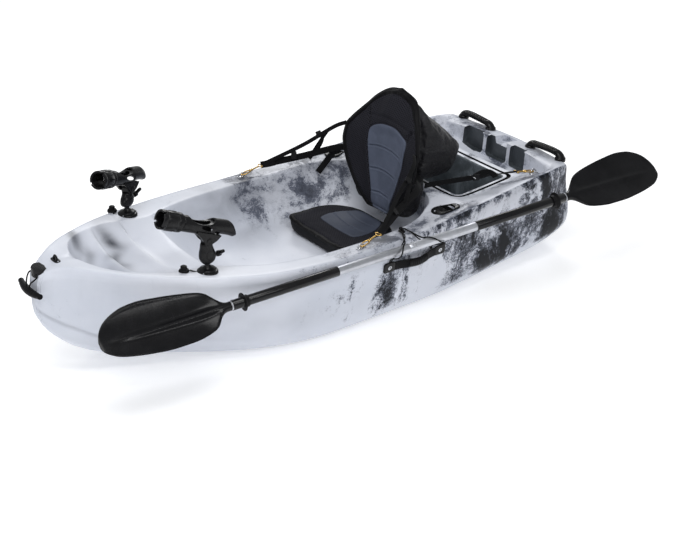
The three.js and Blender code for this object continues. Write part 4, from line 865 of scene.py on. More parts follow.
def paint_hull(hull):
    """How much dark powder lies at each place, whether it is cloudy or drawn into streaks, and where grey smears and
    painted shade darken it.
    """
    me = hull.data
    co = np.zeros(len(me.vertices) * 3)
    me.vertices.foreach_get("co", co)
    co = co.reshape(-1, 3)
    no = np.zeros(len(me.vertices) * 3)
    me.vertices.foreach_get("normal", no)
    no = no.reshape(-1, 3)
    x, y, z = co.T
    side = smooth(0.25, 0.75, np.abs(no[:, 1])) * smooth(0.30, 0.36, np.abs(y) + 0.12 * (np.abs(x) > 0.5) + 0.0)
    # along the length: clean bow, speckled middle and stern
    density = 0.14 + 0.44 * (1 - smooth(-0.30, 0.30, x)) + 0.08 * (1 - smooth(-0.9, -0.4, x))
    density = density - 0.32 * smooth(0.36, 0.62, x)
    near = smooth(0.30, 0.34, y + 0.06 * (x < -0.7)) * smooth(0.25, 0.75, np.abs(no[:, 1]))
    density = density + 0.22 * near * (1 - smooth(-0.42, -0.34, x)) - 0.10 * (np.abs(y) < 0.28) * (x > -0.45) * (z < 0.2)
    blobs = [
        # x, y, z, rx, ry, rz, amount
        (0.02, -0.33, 0.29, 0.13, 0.09, 0.06, 0.30),
        (-0.06, -0.30, 0.22, 0.10, 0.07, 0.07, 0.26),
        (-0.22, -0.28, 0.24, 0.10, 0.07, 0.07, 0.30),
        (-0.10, -0.24, 0.17, 0.10, 0.06, 0.04, 0.42),
        (0.06, 0.12, 0.15, 0.18, 0.05, 0.05, 0.34),
        (-0.30, -0.20, 0.16, 0.10, 0.06, 0.05, -0.20),
        (0.10, 0.36, 0.33, 0.27, 0.05, 0.03, 0.42),
        (-0.30, 0.36, 0.34, 0.25, 0.05, 0.03, 0.24),
        (-0.60, 0.34, 0.35, 0.25, 0.05, 0.03, 0.12),
        (0.10, 0.38, 0.19, 0.07, 0.06, 0.03, 0.45),
        (-0.075, 0.37, 0.13, 0.050, 0.06, 0.09, 0.78),
        (-0.13, 0.38, 0.22, 0.05, 0.06, 0.03, 0.36),
        (-0.26, 0.37, 0.13, 0.09, 0.06, 0.08, -0.32),
        (-0.46, 0.36, 0.20, 0.06, 0.06, 0.06, 0.22),
        (-0.53, 0.35, 0.11, 0.05, 0.06, 0.05, 0.42),
        (-0.63, 0.34, 0.12, 0.05, 0.06, 0.08, 0.50),
        (-0.77, 0.34, 0.20, 0.05, 0.06, 0.05, 0.26),
        (-0.87, 0.33, 0.15, 0.06, 0.06, 0.08, 0.46),
        (-0.90, 0.32, 0.30, 0.06, 0.06, 0.05, 0.14),
        (-0.90, -0.10, 0.30, 0.05, 0.30, 0.05, 0.16),
        (-0.56, 0.36, 0.305, 0.17, 0.08, 0.035, -0.46),
        (-1.02, 0.26, 0.11, 0.10, 0.12, 0.075, -0.85),
        (-0.92, 0.28, 0.05, 0.12, 0.12, 0.05, -0.5),
    ]
    haze = np.zeros(len(x))
    wx = x + 0.010 * np.sin(38 * y + 9 * x) + 0.006 * np.sin(71 * y + 2.0)
    wy = y + 0.012 * np.sin(31 * x + 0.7)
    # grey smears: x, y, z, rx, ry, rz, amount; those at x of 0.67 and more follow the bow footwell steps, and the one
    # at (0.02, 0.15) lies in front of the seat base's near side: both are painted shade
    for bx, by, bz, rx, ry, rz, a in ((0.800, -0.150, 0.365, 0.022, 0.060, 0.05, 0.80), (0.775, -0.080, 0.340, 0.020, 0.060, 0.05, 0.55),
                                      (0.672, -0.150, 0.330, 0.028, 0.075, 0.05, 0.85), (0.690, -0.050, 0.312, 0.022, 0.070, 0.04, 0.70),
                                      (0.780, 0.030, 0.318, 0.050, 0.075, 0.04, 0.34), (0.720, 0.060, 0.305, 0.016, 0.050, 0.03, 0.45),
                                      (0.60, 0.235, 0.33, 0.010, 0.016, 0.03, 0.4), (0.475, 0.10, 0.20, 0.030, 0.035, 0.03, 0.35),
                                      (0.10, -0.32, 0.27, 0.24, 0.10, 0.10, 0.46), (0.02, -0.25, 0.16, 0.16, 0.08, 0.05, 0.36),
                                      (0.02, 0.15, 0.14, 0.20, 0.07, 0.05, 0.30), (-0.30, -0.30, 0.30, 0.30, 0.10, 0.08, 0.20),
                                      (-0.10, 0.36, 0.34, 0.36, 0.07, 0.045, 0.48), (-0.55, 0.34, 0.34, 0.22, 0.07, 0.045, 0.24), (-0.92, 0.18, 0.36, 0.12, 0.24, 0.06, 0.22), (-0.90, -0.18, 0.36, 0.12, 0.16, 0.06, 0.14),
                                      (0.34, 0.42, 0.13, 0.22, 0.10, 0.07, 0.22), (0.05, 0.42, 0.12, 0.12, 0.10, 0.05, 0.08), (0.815, -0.02, 0.33, 0.030, 0.09, 0.05, 0.34)):
        haze = np.maximum(haze, a * np.exp(-(((wx - bx) / rx) ** 2 + ((wy - by) / ry) ** 2 + ((z - bz) / rz) ** 2)))
    haze = haze * np.where((x > 0.5) & (no[:, 1] * np.sign(y) > 0.30), 0.0, 1.0)
    # a dark band just under the side crease: painted shade under the ledge
    outer = (np.abs(y) > 0.00072 * outer_beam(x * 1000)) & (x > 0.1) & (np.abs(y) > 0.012)
    haze = np.maximum(haze, 0.24 * np.exp(-((z * 1000 - CREASE(x * 1000) + 4) / 6.5) ** 2) * smooth(0.45, 0.75, x) * outer)
    for bx, by, bz, rx, ry, rz, a in blobs:
        density = density + a * np.exp(-(((x - bx) / rx) ** 2 + ((y - by) / ry) ** 2 + ((z - bz) / rz) ** 2))
    # a pale band low on the sides, and a clean bottom
    density = density - 0.45 * (1 - smooth(0.03, 0.07, z)) * (np.abs(y) > 0.2) - 0.5 * (1 - smooth(0.05, 0.11, z)) * (x < -0.72)
    for name, value in (("smoke", np.clip(density, 0, 1.5)), ("streak", np.clip(side, 0, 1)), ("haze", np.clip(haze, 0, 1))):
        at = me.attributes.new(name, "FLOAT", "POINT")
        at.data.foreach_set("value", value.astype(np.float32))


hull = make_hull()
paint_hull(hull)
mark_sharp(hull, 50)
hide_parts("hull")
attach(hull, "hull")

# ------------------------------------------------------------------ fittings
def poly_extrude(name, outline, depth, material=None):
    return prism(name, outline, 0, depth, material)


def stand_for(ob, node, body="hull"):
    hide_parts(*([node] if isinstance(node, str) else node))
    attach(ob, body)
    return ob


def cut_by_hull(ob, dx=0.0, dy=0.0, dz=0.3):
    """Takes away what lies inside the hull, so that a foot sits on the moulded surface."""
    tool = bpy.data.objects.new("tool", hull.data.copy())
    scene.collection.objects.link(tool)
    tool.data.transform(Matrix.Translation((dx / 1000, dy / 1000, dz / 1000)))
    return boolean(ob, tool)


SCREWS = {}


def screw(at, normal, r=4.2, body="hull", turn=0.0, washer=0.0):
    """A pan head screw with a cross recess. Millimetres."""
    h = lathe("head", [(0, -1.5), (r, -1.5), (r, 0.6), (r * 0.92, 1.2), (r * 0.6, 1.9), (0, 2.2)], 24, M["steel"])
    for a in (0, 90):
        # the cross recess is coloured with a flat dark plastic: painted shade in the recess
        c = box_object("slot", (r * 1.25, r * 0.24, 2.4), (0, 0, 2.2), M["dark_recess"])
        move(c, RZ(a + turn))
        boolean(h, c, material="TRANSFER")
    parts = [h]
    if washer:
        parts.append(lathe("washer", [(r * 0.9, -1.6), (washer, -1.6), (washer, -0.5), (washer - 0.5, -0.1), (r * 0.9, -0.1), (r * 0.9, -1.6)], 28, M["steel"]))
    q = Vector((0, 0, 1)).rotation_difference(Vector(normal)).to_matrix().to_4x4()
    for p in parts:
        mark_sharp(p, 40)
        move(p, q, T(*at))
    SCREWS.setdefault(body, []).extend(parts)


def deck_normal(x, y):
    sx = float(deck(x + 6, y) - deck(x - 6, y)) / 12
    sy = float(deck(x, y + 6) - deck(x, y - 6)) / 12
    return Vector((-sx, -sy, 1)).normalized()


# flat dark colour for the screws' cross recesses and the rod clamp's parting gap: painted shade
M["dark_recess"] = plastic("recess_dark", (0.012, 0.012, 0.013), 0.5)
# a darker, matte copy of the black for the bore of the flush holders: painted shade inside the tube
M["well_dark"] = plastic("tube_inside", (0.002, 0.002, 0.0024), 0.85, spec=0.03)
flushZ = float(deck(-374, 320))

# drain plug with a slotted head
plug = lathe("drain_plug_moulded", [(0, 0), (7.6, 0), (7.6, 14), (13, 14.4), (13, 17.6), (12.2, 18.6), (10.8, 19.4), (10.2, 20.6), (9.4, 21), (0, 21)], 40, M["black"])
move(plug, RY(-90), T(-1004 + 14, 0, 96))
boolean(plug, box_object("slot", (6, 22, 3), (-1011, 0, 96), M["dark_recess"]))
mark_sharp(edge_soften(plug, 0.0005), 40)
stand_for(plug, "drain_plug", "drain_plug")

for tag, side in (("port", 1), ("stbd", -1)):
    # flush rod holder
    outline = []
    for i in range(33):
        t = -math.pi / 2 - 0.22 + (math.pi + 0.44) * i / 32
        outline.append((21 + 32 * math.cos(t), 32 * math.sin(t)))
    for i in range(21):
        t = math.pi / 2 + 0.22 + (math.pi - 0.44) * i / 20
        outline.append((-33 + 21 * math.cos(t), 21 * math.sin(t)))
    nrm = deck_normal(-374, side * 320)
    rings = []
    for k, z in ((1.0, -8), (1.0, 2.4), (0.985, 3.8), (0.95, 4.8), (0.80, 5.6), (0.72, 5.7)):
        rings.append([(x * k, y * k, z) for x, y in outline])
    plate = loft("flush", rings, M["black"])
    q = Vector((0, 0, 1)).rotation_difference(nrm).to_matrix().to_4x4()
    move(plate, RZ(math.degrees(side * -0.19)), q, T(-374, side * 320, flushZ))
    cut_by_hull(plate)
    tube = lathe("tube", [(0, -190), (24, -190), (24, 4), (0, 4)], 48, M["black"])
    # the bore's faces take the darker black: painted shade inside the tube
    bore = lathe("bore", [(0, -186), (20.5, -186), (20.5, -3), (21.4, 2), (24, 7), (27, 14), (27, 60), (0, 60)], 48, M["well_dark"])
    for o in (tube, bore):
        move(o, RY(-26), RX(side * -5), T(-374, side * 320, flushZ))
    boolean(plate, tube, "UNION")
    boolean(plate, bore, material="TRANSFER")
    plate.name = f"flush_rod_holder_shell_{tag}"
    mark_sharp(plate, 36)
    stand_for(plate, f"flush_rod_holder_{tag}", "hull")
    for dx in (-40.5, 42.5):
        a = side * -0.19
        px, py = -374 + dx * math.cos(a), side * 320 + dx * math.sin(a)
        screw((px, py, float(deck(px, py)) + 6.2), deck_normal(px, py), 3.8, turn=20 + dx)

    # stern carry handle: ribbed grip on two feet
    hx, hz, hz2 = -961, float(deck(-961, 110)) - 4, float(deck(-961, 275)) - 4
    path = spline([(hx, side * 108, hz), (hx, side * 110, hz + 12), (hx, side * 122, hz + 22), (hx, side * 150, hz + 26),
                   (hx, side * 192, mix(hz, hz2, 0.5) + 27), (hx, side * 236, hz2 + 26), (hx, side * 262, hz2 + 22), (hx, side * 274, hz2 + 12), (hx, side * 276, hz2)], 150)

    def grip(t):
        k = 1 + 0.16 * abs(t * 2 - 1) ** 3
        s = 1.0
        if 0.20 < t < 0.80:
            s = 1.0 - 0.20 * (0.5 - 0.5 * math.cos(2 * math.pi * (t - 0.20) / 0.60 * 11)) ** 2
        return [(a * 15.0 * k * s, b * 12.0 * s) for a, b in circle(1, 28)]

    handle = sweep("stern_grip", path, (1, 0, 0), grip, M["black"])
    outward(handle)
    for y, z in ((112, hz), (271, hz2)):
        foot = lathe("foot", [(0, -6), (19.5, -6), (19.5, 5), (18.4, 7.6), (15.5, 9.8), (12, 11.6), (0, 12)], 40, M["black"])
        move(foot, S(1.08, 1, 1), T(hx, side * y, z + 4))
        boolean(handle, foot, "UNION")
    cut_by_hull(handle)
    handle.name = f"stern_handle_moulded_{tag}"
    mark_sharp(handle, 44)
    stand_for(handle, f"stern_handle_{tag}", "hull")
    for y, z in ((112, hz), (271, hz2)):
        screw((hx + 15.2, side * y, z + 11.6), (0.35, 0, 1), 3.3, turn=30)

    # webbing side handle between screwed plates
    xa, xb, HZ = -74, -296, 233
    lean = lambda x: math.degrees(math.atan2(outside_y(x, HZ + 15) - outside_y(x, HZ - 15), 30))
    for nm, x in (("fore", xa), ("aft", xb)):
        y = side * outside_y(x, HZ)
        p = []
        for k, z in ((1.0, -7), (1.0, 4.2), (0.975, 5.9), (0.93, 6.8), (0.84, 7.1)):
            p.append([(a * k, b * k, z) for a, b in rounded_rect(46, 38, 8)])
        pl = loft("plate", p, M["black"])
        move(pl, RX(-90))
        if side < 0:
            move(pl, RX(180))
        move(pl, RX(-side * lean(x)), T(x, y, HZ))
        cut_by_hull(pl, 0, side * 0.2, 0)
        pl.name = f"side_handle_cap_{nm}_{tag}"
        mark_sharp(pl, 40)
        stand_for(pl, f"side_handle_plate_{nm}_{tag}", "hull")
        n = Vector((0, side * math.cos(rad(lean(x))), -math.sin(rad(lean(x)))))
        c = Vector((x, y, HZ)) + n * 8.2
        screw(tuple(c), n, 4.4, washer=7.6, turn=15)
    mid = (xa + xb) / 2
    out = lambda x, d: side * (outside_y(x, HZ) + d)
    ctrl = [(xa - 20, out(xa - 20, 5), HZ), (xa - 45, out(xa - 45, 8.5), HZ), (mid, out(mid, 24), HZ - 1), (xb + 45, out(xb + 45, 8.5), HZ), (xb + 20, out(xb + 20, 5), HZ)]
    path = spline(ctrl, 70)
    up = (0, side * math.sin(rad(lean(mid))), math.cos(rad(lean(mid))))
    strap = sweep(f"side_handle_web_{tag}", path, up, ribbon_section(34, 3.4, 1.4), M["webbing"])
    outward(strap)

    def pad(t):
        e = min(1, t / 0.05, (1 - t) / 0.05)
        g = 1 - 0.10 * (0.5 - 0.5 * math.cos(2 * math.pi * t * 11)) * smooth(0.06, 0.12, t) * (1 - smooth(0.88, 0.94, t))
        k = 0.80 + 0.20 * math.sqrt(max(0, 1 - (1 - e) ** 2))
        return [(14.2 * k * math.copysign(abs(a) ** 0.8, a), 9.5 * k * float(g) * math.copysign(abs(b) ** 0.8, b)) for a, b in circle(1, 28)]

    sub = path[20:51]
    fine = spline(sub, 90)
    pd = sweep(f"side_handle_grip_{tag}", fine, up, pad, M["rubber"])
    outward(pd)
    mark_sharp(pd, 60)
    stand_for(strap, f"side_handle_{tag}", "hull")
    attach(pd, "hull")


def loop_plate(name, node, x, y, turn, wide=38, deep=15, rise=15, wire=2.5, mat="steel", bolts=True):
    z = float(deck(x, y))
    sx = float(deck(x + 12, y) - deck(x - 12, y))
    sy = float(deck(x, y + 8) - deck(x, y - 8))
    place = (RZ(turn), RY(-math.degrees(math.atan2(sx, 24))), RX(math.degrees(math.atan2(sy, 16))), T(x, y, z))
    rings = [[(a * k, b * k, h) for a, b in rounded_rect(wide, deep, deep * 0.45)] for k, h in ((1, -5), (1, 1.6), (0.97, 2.3), (0.9, 2.6))]
    plate = loft(name, rings, M[mat])
    arc = []
    for i in range(29):
        t = math.pi * (1.12 - 1.24 * i / 28)
        arc.append((11 * math.cos(t), 0, 4 + (rise - 4) * max(-0.4, math.sin(t))))
    bail = sweep("bail", arc, (0, 1, 0), circle(wire, 16), M[mat])
    outward(bail)
    boolean(plate, bail, "UNION")
    move(plate, *place)
    mark_sharp(plate, 42)
    stand_for(plate, node, "hull")
    if bolts:
        m = Matrix.Identity(4)
        for q in place:
            m = q @ m
        for a in (-wide / 2 + 4.4, wide / 2 - 4.4):
            p = m @ Vector((a / 1000, 0, 2.9 / 1000)) * 1000
            n = (m.to_3x3() @ Vector((0, 0, 1))).normalized()
            screw(tuple(p), n, 2.6, turn=a * 9)


for tag, side in (("port", 1), ("stbd", -1)):
    loop_plate(f"eyelet_fore_{tag}", f"seat_eyelet_fore_{tag}", 22, side * 364, 0)
    loop_plate(f"eyelet_aft_{tag}", f"seat_eyelet_aft_{tag}", -804, side * 299, 0)
loop_plate("bow_eye", "bow_deck_eye", 931, 4, 90, 44, 20, 16, 3.4, "black")
loop_plate("bungee_loop", "bungee_eye", -161, 346, 90, 30, 16, 15, 2.6, "black")

# bow toggle: bent saddle, cord and moulded grip
tx, ty, tz = 1010, 0, 378
saddle = prism("bow_saddle", [(tx + u, ty + v) for u, v in ((-46, -24), (-22, -31), (-13, -26), (-4, -15), (0, -8), (0, 8), (-4, 15), (-13, 26), (-22, 31), (-46, 24))], tz - 14, tz + 14, M["black"])
hole = lathe("hole", [(0, -40), (4.2, -40), (4.2, 40), (0, 40)], 32, M["black"])
move(hole, RX(90), T(tx - 7, 0, tz - 5))
boolean(saddle, hole)
cut_by_hull(saddle, 0.3, 0, 0)
edge_soften(saddle, 0.0022, 3, 30)
stand_for(saddle, "bow_toggle_eye", "hull")
ex, gx, gz, hz = tx - 7, tx + 19, tz - 56, tz - 5
cord_pts = [(gx, -9, gz + 11.6), (gx - 3, -13, gz + 26), (ex + 15, -22, hz - 13), (ex + 5, -27, hz - 3), (ex, -21, hz + 0.2), (ex, 0, hz + 0.2),
            (ex, 21, hz + 0.2), (ex + 5, 27, hz - 3), (ex + 15, 22, hz - 13), (gx - 3, 13, gz + 26), (gx, 9, gz + 11.6)]
tc = sweep("toggle_cord", spline(cord_pts, 90), (1, 0, 0), circle(2.4, 12), M["cord"])
outward(tc)
stand_for(tc, "bow_toggle_cord", "bow_toggle")
arch = [np.array([gx - 9.0 * (1 - math.cos(math.pi * t / 150)), t, gz + 5.0 * (1 - math.cos(math.pi * t / 150))]) for t in np.linspace(-73.5, 73.5, 72)]


def toggle_section(t):
    u = abs(t * 2 - 1)
    r = float(table([(0, 13.4), (0.35, 12.8), (0.7, 10.4), (0.86, 9.2), (0.94, 9.4), (0.985, 8.2), (1, 5.6)])(u))
    r *= 1 - 0.05 * (0.5 - 0.5 * math.cos(t * 2 * math.pi * 15)) * (1 if u < 0.6 else 0)
    return [(r * a, r * 0.92 * b) for a, b in circle(1, 32)]


tg = outward(sweep("toggle_grip", arch, (1, 0, 0), toggle_section, M["rubber"]))
mark_sharp(tg, 50)
stand_for(tg, "bow_toggle_grip", "bow_toggle")

# ------------------------------------------------------------------ paddle
PADDLE = (RX(-40), RY(2.5), RZ(-4.6), T(-120, 435, 307.5))
ALONG = RY(90)


def paddle_piece(ob, node, body, angle=40, soften=0.0):
    move(ob, *PADDLE)
    if soften:
        edge_soften(ob, soften)
    mark_sharp(ob, angle)
    return stand_for(ob, node, body)


bow = lathe("shaft_bow", [(0, 0.2), (14.6, 0.2), (15, 0.7), (15, 659.6), (0, 659.6)], 64, M["alu"])
move(bow, ALONG)
ferrule = lathe("ferrule", [(0, -60), (12.0, -60), (13.1, -57), (13.1, 4), (0, 4)], 48, M["black"])
move(ferrule, ALONG)
boolean(bow, ferrule, "UNION", material="TRANSFER")
hole = lathe("hole", [(0, 2), (4.4, 2), (4.4, 30), (0, 30)], 28, M["alu"])
move(hole, T(-20, 0, 0))
boolean(bow, hole)
paddle_piece(bow, "paddle_shaft_bow", "paddle")
stern = lathe("shaft_stern", [(0, -659.6), (15, -659.6), (15, -0.7), (14.6, -0.2), (0, -0.2)], 64, M["alu"])
move(stern, ALONG)
b1 = lathe("bore", [(0, -64), (13.5, -64), (13.5, 5), (0, 5)], 48, M["alu"])
move(b1, ALONG)
boolean(stern, b1)
hole = lathe("hole", [(0, 2), (4.5, 2), (4.5, 30), (0, 30)], 28, M["alu"])
move(hole, T(-20, 0, 0))
boolean(stern, hole)
paddle_piece(stern, "paddle_shaft_stern", "paddle")
btn = lathe("latch_button", [(0, 5.6), (4, 5.6), (4, 15.6), (3.6, 17), (2.6, 18), (1.2, 18.4), (0, 18.45)], 28, M["steel"])
move(btn, T(-20, 0, 0))
paddle_piece(btn, "paddle_button", "paddle_button")


def closed_spline(pts, n):
    p = np.array(pts, float)
    m = len(p)
    out = []
    for i in range(n):
        u = i * m / n
        k = int(u)
        t = u - k
        a, b, c, d = p[(k - 1) % m], p[k % m], p[(k + 1) % m], p[(k + 2) % m]
        out.append(0.5 * (2 * b + (c - a) * t + (2 * a - 5 * b + 4 * c - d) * t * t + (3 * b - a - 3 * c + d) * t ** 3))
    return out


near = table([(0, 15), (16, 20), (36, 34), (60, 54), (100, 70), (155, 79), (220, 80), (285, 74), (345, 64), (390, 52), (415, 38), (432, 22), (437, 10)])
far = table([(0, -15), (12, -24), (30, -44), (60, -60), (93, -73), (155, -85), (217, -93), (280, -98), (330, -94), (370, -82), (400, -66), (422, -44), (433, -22), (437, -9)])
thick = table([(0, 15), (30, 13), (60, 7), (110, 3.2), (220, 2.4), (440, 1.8)])
rib = table([(0, 15), (30, 14.6), (80, 12.5), (160, 10.2), (240, 8.4), (320, 6.4), (372, 4.2), (410, 2.2), (440, 1.8)])
bend = table([(0, 0), (40, 0), (120, 0), (220, 3), (330, 10), (440, 20)])
for tag, d in (("bow", 1), ("stern", -1)):
    flip = [RZ(180)] if d < 0 else []
    sl = lathe(f"sleeve_{tag}", [(15.25, 273), (16.2, 273), (16.6, 273.6), (16.6, 654.4), (16.2, 655), (15.25, 655), (15.25, 273)], 64, M["sleeve"])
    move(sl, ALONG, *flip)
    paddle_piece(sl, f"paddle_sleeve_{tag}", "paddle")
    R = 16.6
    ring = lathe(f"drip_cup_{tag}", [(R + 0.8, -9), (R + 2.2, -9.2), (R + 3.0, -8.4), (R + 3.2, -4), (R + 3.6, 0), (R + 5, 2.4), (R + 9, 4.4), (R + 12.6, 5.8), (R + 13.2, 7), (R + 12.8, 8.4), (R + 11.6, 9), (R + 6, 8.4), (R + 3.4, 8.6), (R + 0.8, 9), (R + 0.8, -9)], 56, M["rubber"])
    move(ring, T(0, 0, 609), ALONG, *flip)
    paddle_piece(ring, f"paddle_drip_ring_{tag}", f"paddle_drip_ring_{tag}", 60)
    rings = []
    N = 72
    ss = sorted(set([0, 4, 8, 14, 20, 27, 34, 42, 51, 62] + list(range(72, 400, 10)) + [400, 407, 414, 420, 425, 429, 432, 434.5, 436, 437]))
    for s in ss:
        a, b, t = float(near(s)), float(far(s)), float(thick(s))
        r = max(float(rib(s)), t)
        c = d * float(bend(s))
        k = float(smooth(4, 70, s))
        e = 1.0 if s < 425 else math.sqrt(max(0.02, 1 - ((s - 425) / 12.2) ** 2))
        ring_pts = []
        for i in range(N):
            an = 2 * math.pi * i / N
            cy, cz = math.cos(an), math.sin(an)
            # flat section: thin blade with a moulded rib on its back and a shallow one in front
            y = (a * cy if cy > 0 else -b * cy)
            # more points near the rib
            y = y * (0.25 + 0.75 * abs(cy) ** 0.35) if abs(cy) > 1e-9 else 0.0
            edge = math.sqrt(max(0.0, 1 - (y / (a if y > 0 else -b)) ** 8)) if abs(y) > 1e-9 else 1
            web = t * edge
            bead = (r - t) * math.exp(-(y / (7.5 + 5 * (1 - s / 440))) ** 2)
            flare = 0.9 * math.exp(-(((abs(y) / (a if y > 0 else -b)) - 0.93) / 0.05) ** 2) * k
            z = (web + bead + flare) if cz >= 0 else -(web * 0.85 + bead * 0.75 + flare * 0.5)
            if abs(cz) < 1e-6:
                z = 0
            cup = 14 * k * (y / 88) ** 2
            yy, zz = mix(15 * cy, y, k), mix(15 * cz, z * e + cup, k) + c
            ring_pts.append((d * (660 + s), yy, zz))
        rings.append(ring_pts if d > 0 else ring_pts[::-1])
    blade = loft(f"blade_{tag}", rings, M["blade"])
    outward(blade)
    paddle_piece(blade, f"paddle_blade_{tag}", "paddle", 50)

# bungee over and under the shaft
def axis_at(x):
    s = (x + 120) / math.cos(rad(-4.6))
    return x, 435 + s * math.sin(rad(-4.6)), 307.5 + s * math.sin(rad(-2.5))


def around(x, deg, r=19.6):
    _, y, z = axis_at(x)
    return x, y + r * math.sin(rad(deg)), z + r * math.cos(rad(deg))


eye_top = float(deck(-161, 346)) + 8.6
eye_pt = lambda dd: (-161 + dd, 346, eye_top)
end_pt = lambda x, z: (x, outside_y(x, z) + 6.5, z)
sgn = lambda v: (v > 0) - (v < 0)


def over(xe, xs):
    return spline([eye_pt(0), eye_pt(sgn(xe - xs[0]) * 9), (mix(-161, xs[0], 0.45), 378, eye_top + 2), around(xs[0], -28), around(xs[1], 12),
                   around(xs[2], 50, 20.6), around(xs[3], 92, 21), around(xe, 126, 23), end_pt(xe, 264), end_pt(xe, 252)], 70)


def under(xe, xs):
    return spline([eye_pt(0), eye_pt(sgn(xe - xs[0]) * 9), (mix(-161, xs[0], 0.6), 392, eye_top - 1), (xs[0], 404, eye_top - 12), (xs[1], 407.5, 304),
                   (xs[2], 408, 285), end_pt(xe + (-9 if xe > -161 else 9), 264), end_pt(xe + (-4 if xe > -161 else 4), 252)], 50)


runs = []
for pts, r in ((over(-72, (-112, -98, -87, -80)), 2.5), (over(-252, (-182, -197, -214, -231)), 2.5), (under(-72, (-124, -110, -96)), 2.0), (under(-252, (-180, -196, -214)), 2.0)):
    o = sweep("run", pts, (0.3, 0.25, 1), circle(r, 12), M["cord"])
    outward(o)
    runs.append(o)
knot = lathe("knot", [(0, -5), (2.5, -5), (4.4, -3), (5.2, 0), (4.4, 3), (2.5, 5), (0, 5)], 20, M["cord"])
move(knot, RY(90), T(-161, 346, eye_top))
runs.append(knot)
bungee = join("bungee_line", runs)
stand_for(bungee, "paddle_bungee", "hull")

# ------------------------------------------------------------------ soft goods
backHalf = table([(222, 66), (250, 90), (300, 129), (340, 160), (370, 182), (410, 201), (450, 210), (495, 208), (530, 188), (560, 165), (590, 140), (620, 115), (646, 84), (665, 50), (676, 14)])
wing = table([(222, 10), (250, 22), (300, 38), (400, 47), (450, 50), (495, 44), (530, 32), (560, 16), (590, 2), (650, -6), (682, -4)])


def backX(z):
    return -328 - 0.14 * (z - 225) - 18 * smooth(590, 655, z)


def put_attr(ob, name, values):
    at = ob.data.attributes.get(name) or ob.data.attributes.new(name, "FLOAT", "POINT")
    at.data.foreach_set("value", np.asarray(values, np.float32))


def get_attr(ob, name):
    at = ob.data.attributes[name]
    v = np.zeros(len(at.data), np.float32)
    at.data.foreach_get("value", v)
    return v.astype(float)


def coords(ob):
    v = np.zeros(len(ob.data.vertices) * 3)
    ob.data.vertices.foreach_get("co", v)
    return v.reshape(-1, 3)


def normals(ob):
    v = np.zeros(len(ob.data.vertices) * 3)
    ob.data.vertices.foreach_get("normal", v)
    return v.reshape(-1, 3)


def set_coords(ob, co):
    ob.data.vertices.foreach_set("co", np.ascontiguousarray(co, float).ravel())
    ob.data.update()
    return ob


def inflate(ob, pinned, pressure=4.0, cap=0.008, shrink=0.0, frames_n=20, stiff=15, bending=0.5):
    """Fills the sewn shell with air in a cloth simulation, keeps how far each point moved under a cap, and applies it."""
    before = coords(ob)
    g = ob.vertex_groups.new(name="sewn")
    g.add([int(i) for i in np.nonzero(pinned)[0]], 1.0, "REPLACE")
    m = ob.modifiers.new("cloth", "CLOTH")
    s = m.settings
    s.quality = 6
    s.mass = 0.25
    s.tension_stiffness = s.compression_stiffness = s.shear_stiffness = stiff
    s.bending_stiffness = bending
    s.use_pressure = True
    s.uniform_pressure_force = pressure
    s.shrink_min = shrink
    s.vertex_group_mass = "sewn"
    s.effector_weights.gravity = 0
    m.collision_settings.use_collision = False
    m.collision_settings.use_self_collision = False
    m.point_cache.frame_start = 1
    m.point_cache.frame_end = frames_n
    for f in range(1, frames_n + 1):
        scene.frame_set(f)
    apply_modifiers(ob)
    scene.frame_set(1)
    after = coords(ob)
    if len(after) != len(before):
        return ob
    d = after - before
    length = np.linalg.norm(d, axis=1)
    k = np.where(length > 1e-9, cap * np.tanh(length / cap) / np.maximum(length, 1e-9), 1)
    return set_coords(ob, before + d * k[:, None])


def subdivide(ob, levels=1):
    m = ob.modifiers.new("fine", "SUBSURF")
    m.levels = m.render_levels = levels
    return apply_modifiers(ob)


def polygon_distance(pts, poly):
    """Signed distance of points to a closed polygon, positive inside."""
    p = np.asarray(pts, float)
    q = np.asarray(poly, float)
    a, b = q, np.roll(q, -1, axis=0)
    best = np.full(len(p), 1e9)
    inside = np.zeros(len(p), bool)
    for (ax, ay), (bx, by) in zip(a, b):
        e = np.array([bx - ax, by - ay])
        w = p - [ax, ay]
        t = np.clip((w @ e) / max(1e-9, e @ e), 0, 1)
        best = np.minimum(best, np.hypot(*(w - t[:, None] * e).T))
        cross = ((ay > p[:, 1]) != (by > p[:, 1]))
        with np.errstate(divide="ignore", invalid="ignore"):
            xi = (bx - ax) * (p[:, 1] - ay) / (by - ay + 1e-12) + ax
        inside ^= cross & (p[:, 0] < xi)
    return np.where(inside, best, -best)


def line_distance(pts, line):
    p = np.asarray(pts, float)
    q = np.asarray(line, float)
    best = np.full(len(p), 1e9)
    for (ax, ay), (bx, by) in zip(q[:-1], q[1:]):
        e = np.array([bx - ax, by - ay])
        w = p - [ax, ay]
        t = np.clip((w @ e) / max(1e-9, e @ e), 0, 1)
        best = np.minimum(best, np.hypot(*(w - t[:, None] * e).T))
    return best


def crumple(co, scale, amount, seed=0.0, octaves=4):
    out = np.empty(len(co))
    for i, c in enumerate(co):
        v = Vector(c) * scale + Vector((seed, seed * 1.7, -seed))
        s, a, f = 0.0, 1.0, 1.0
        for _ in range(octaves):
            s += a * (1 - abs(noise.noise(v * f)) * 2.2)
            a *= 0.5
            f *= 2.03
        out[i] = s
    return (out - out.mean()) * amount


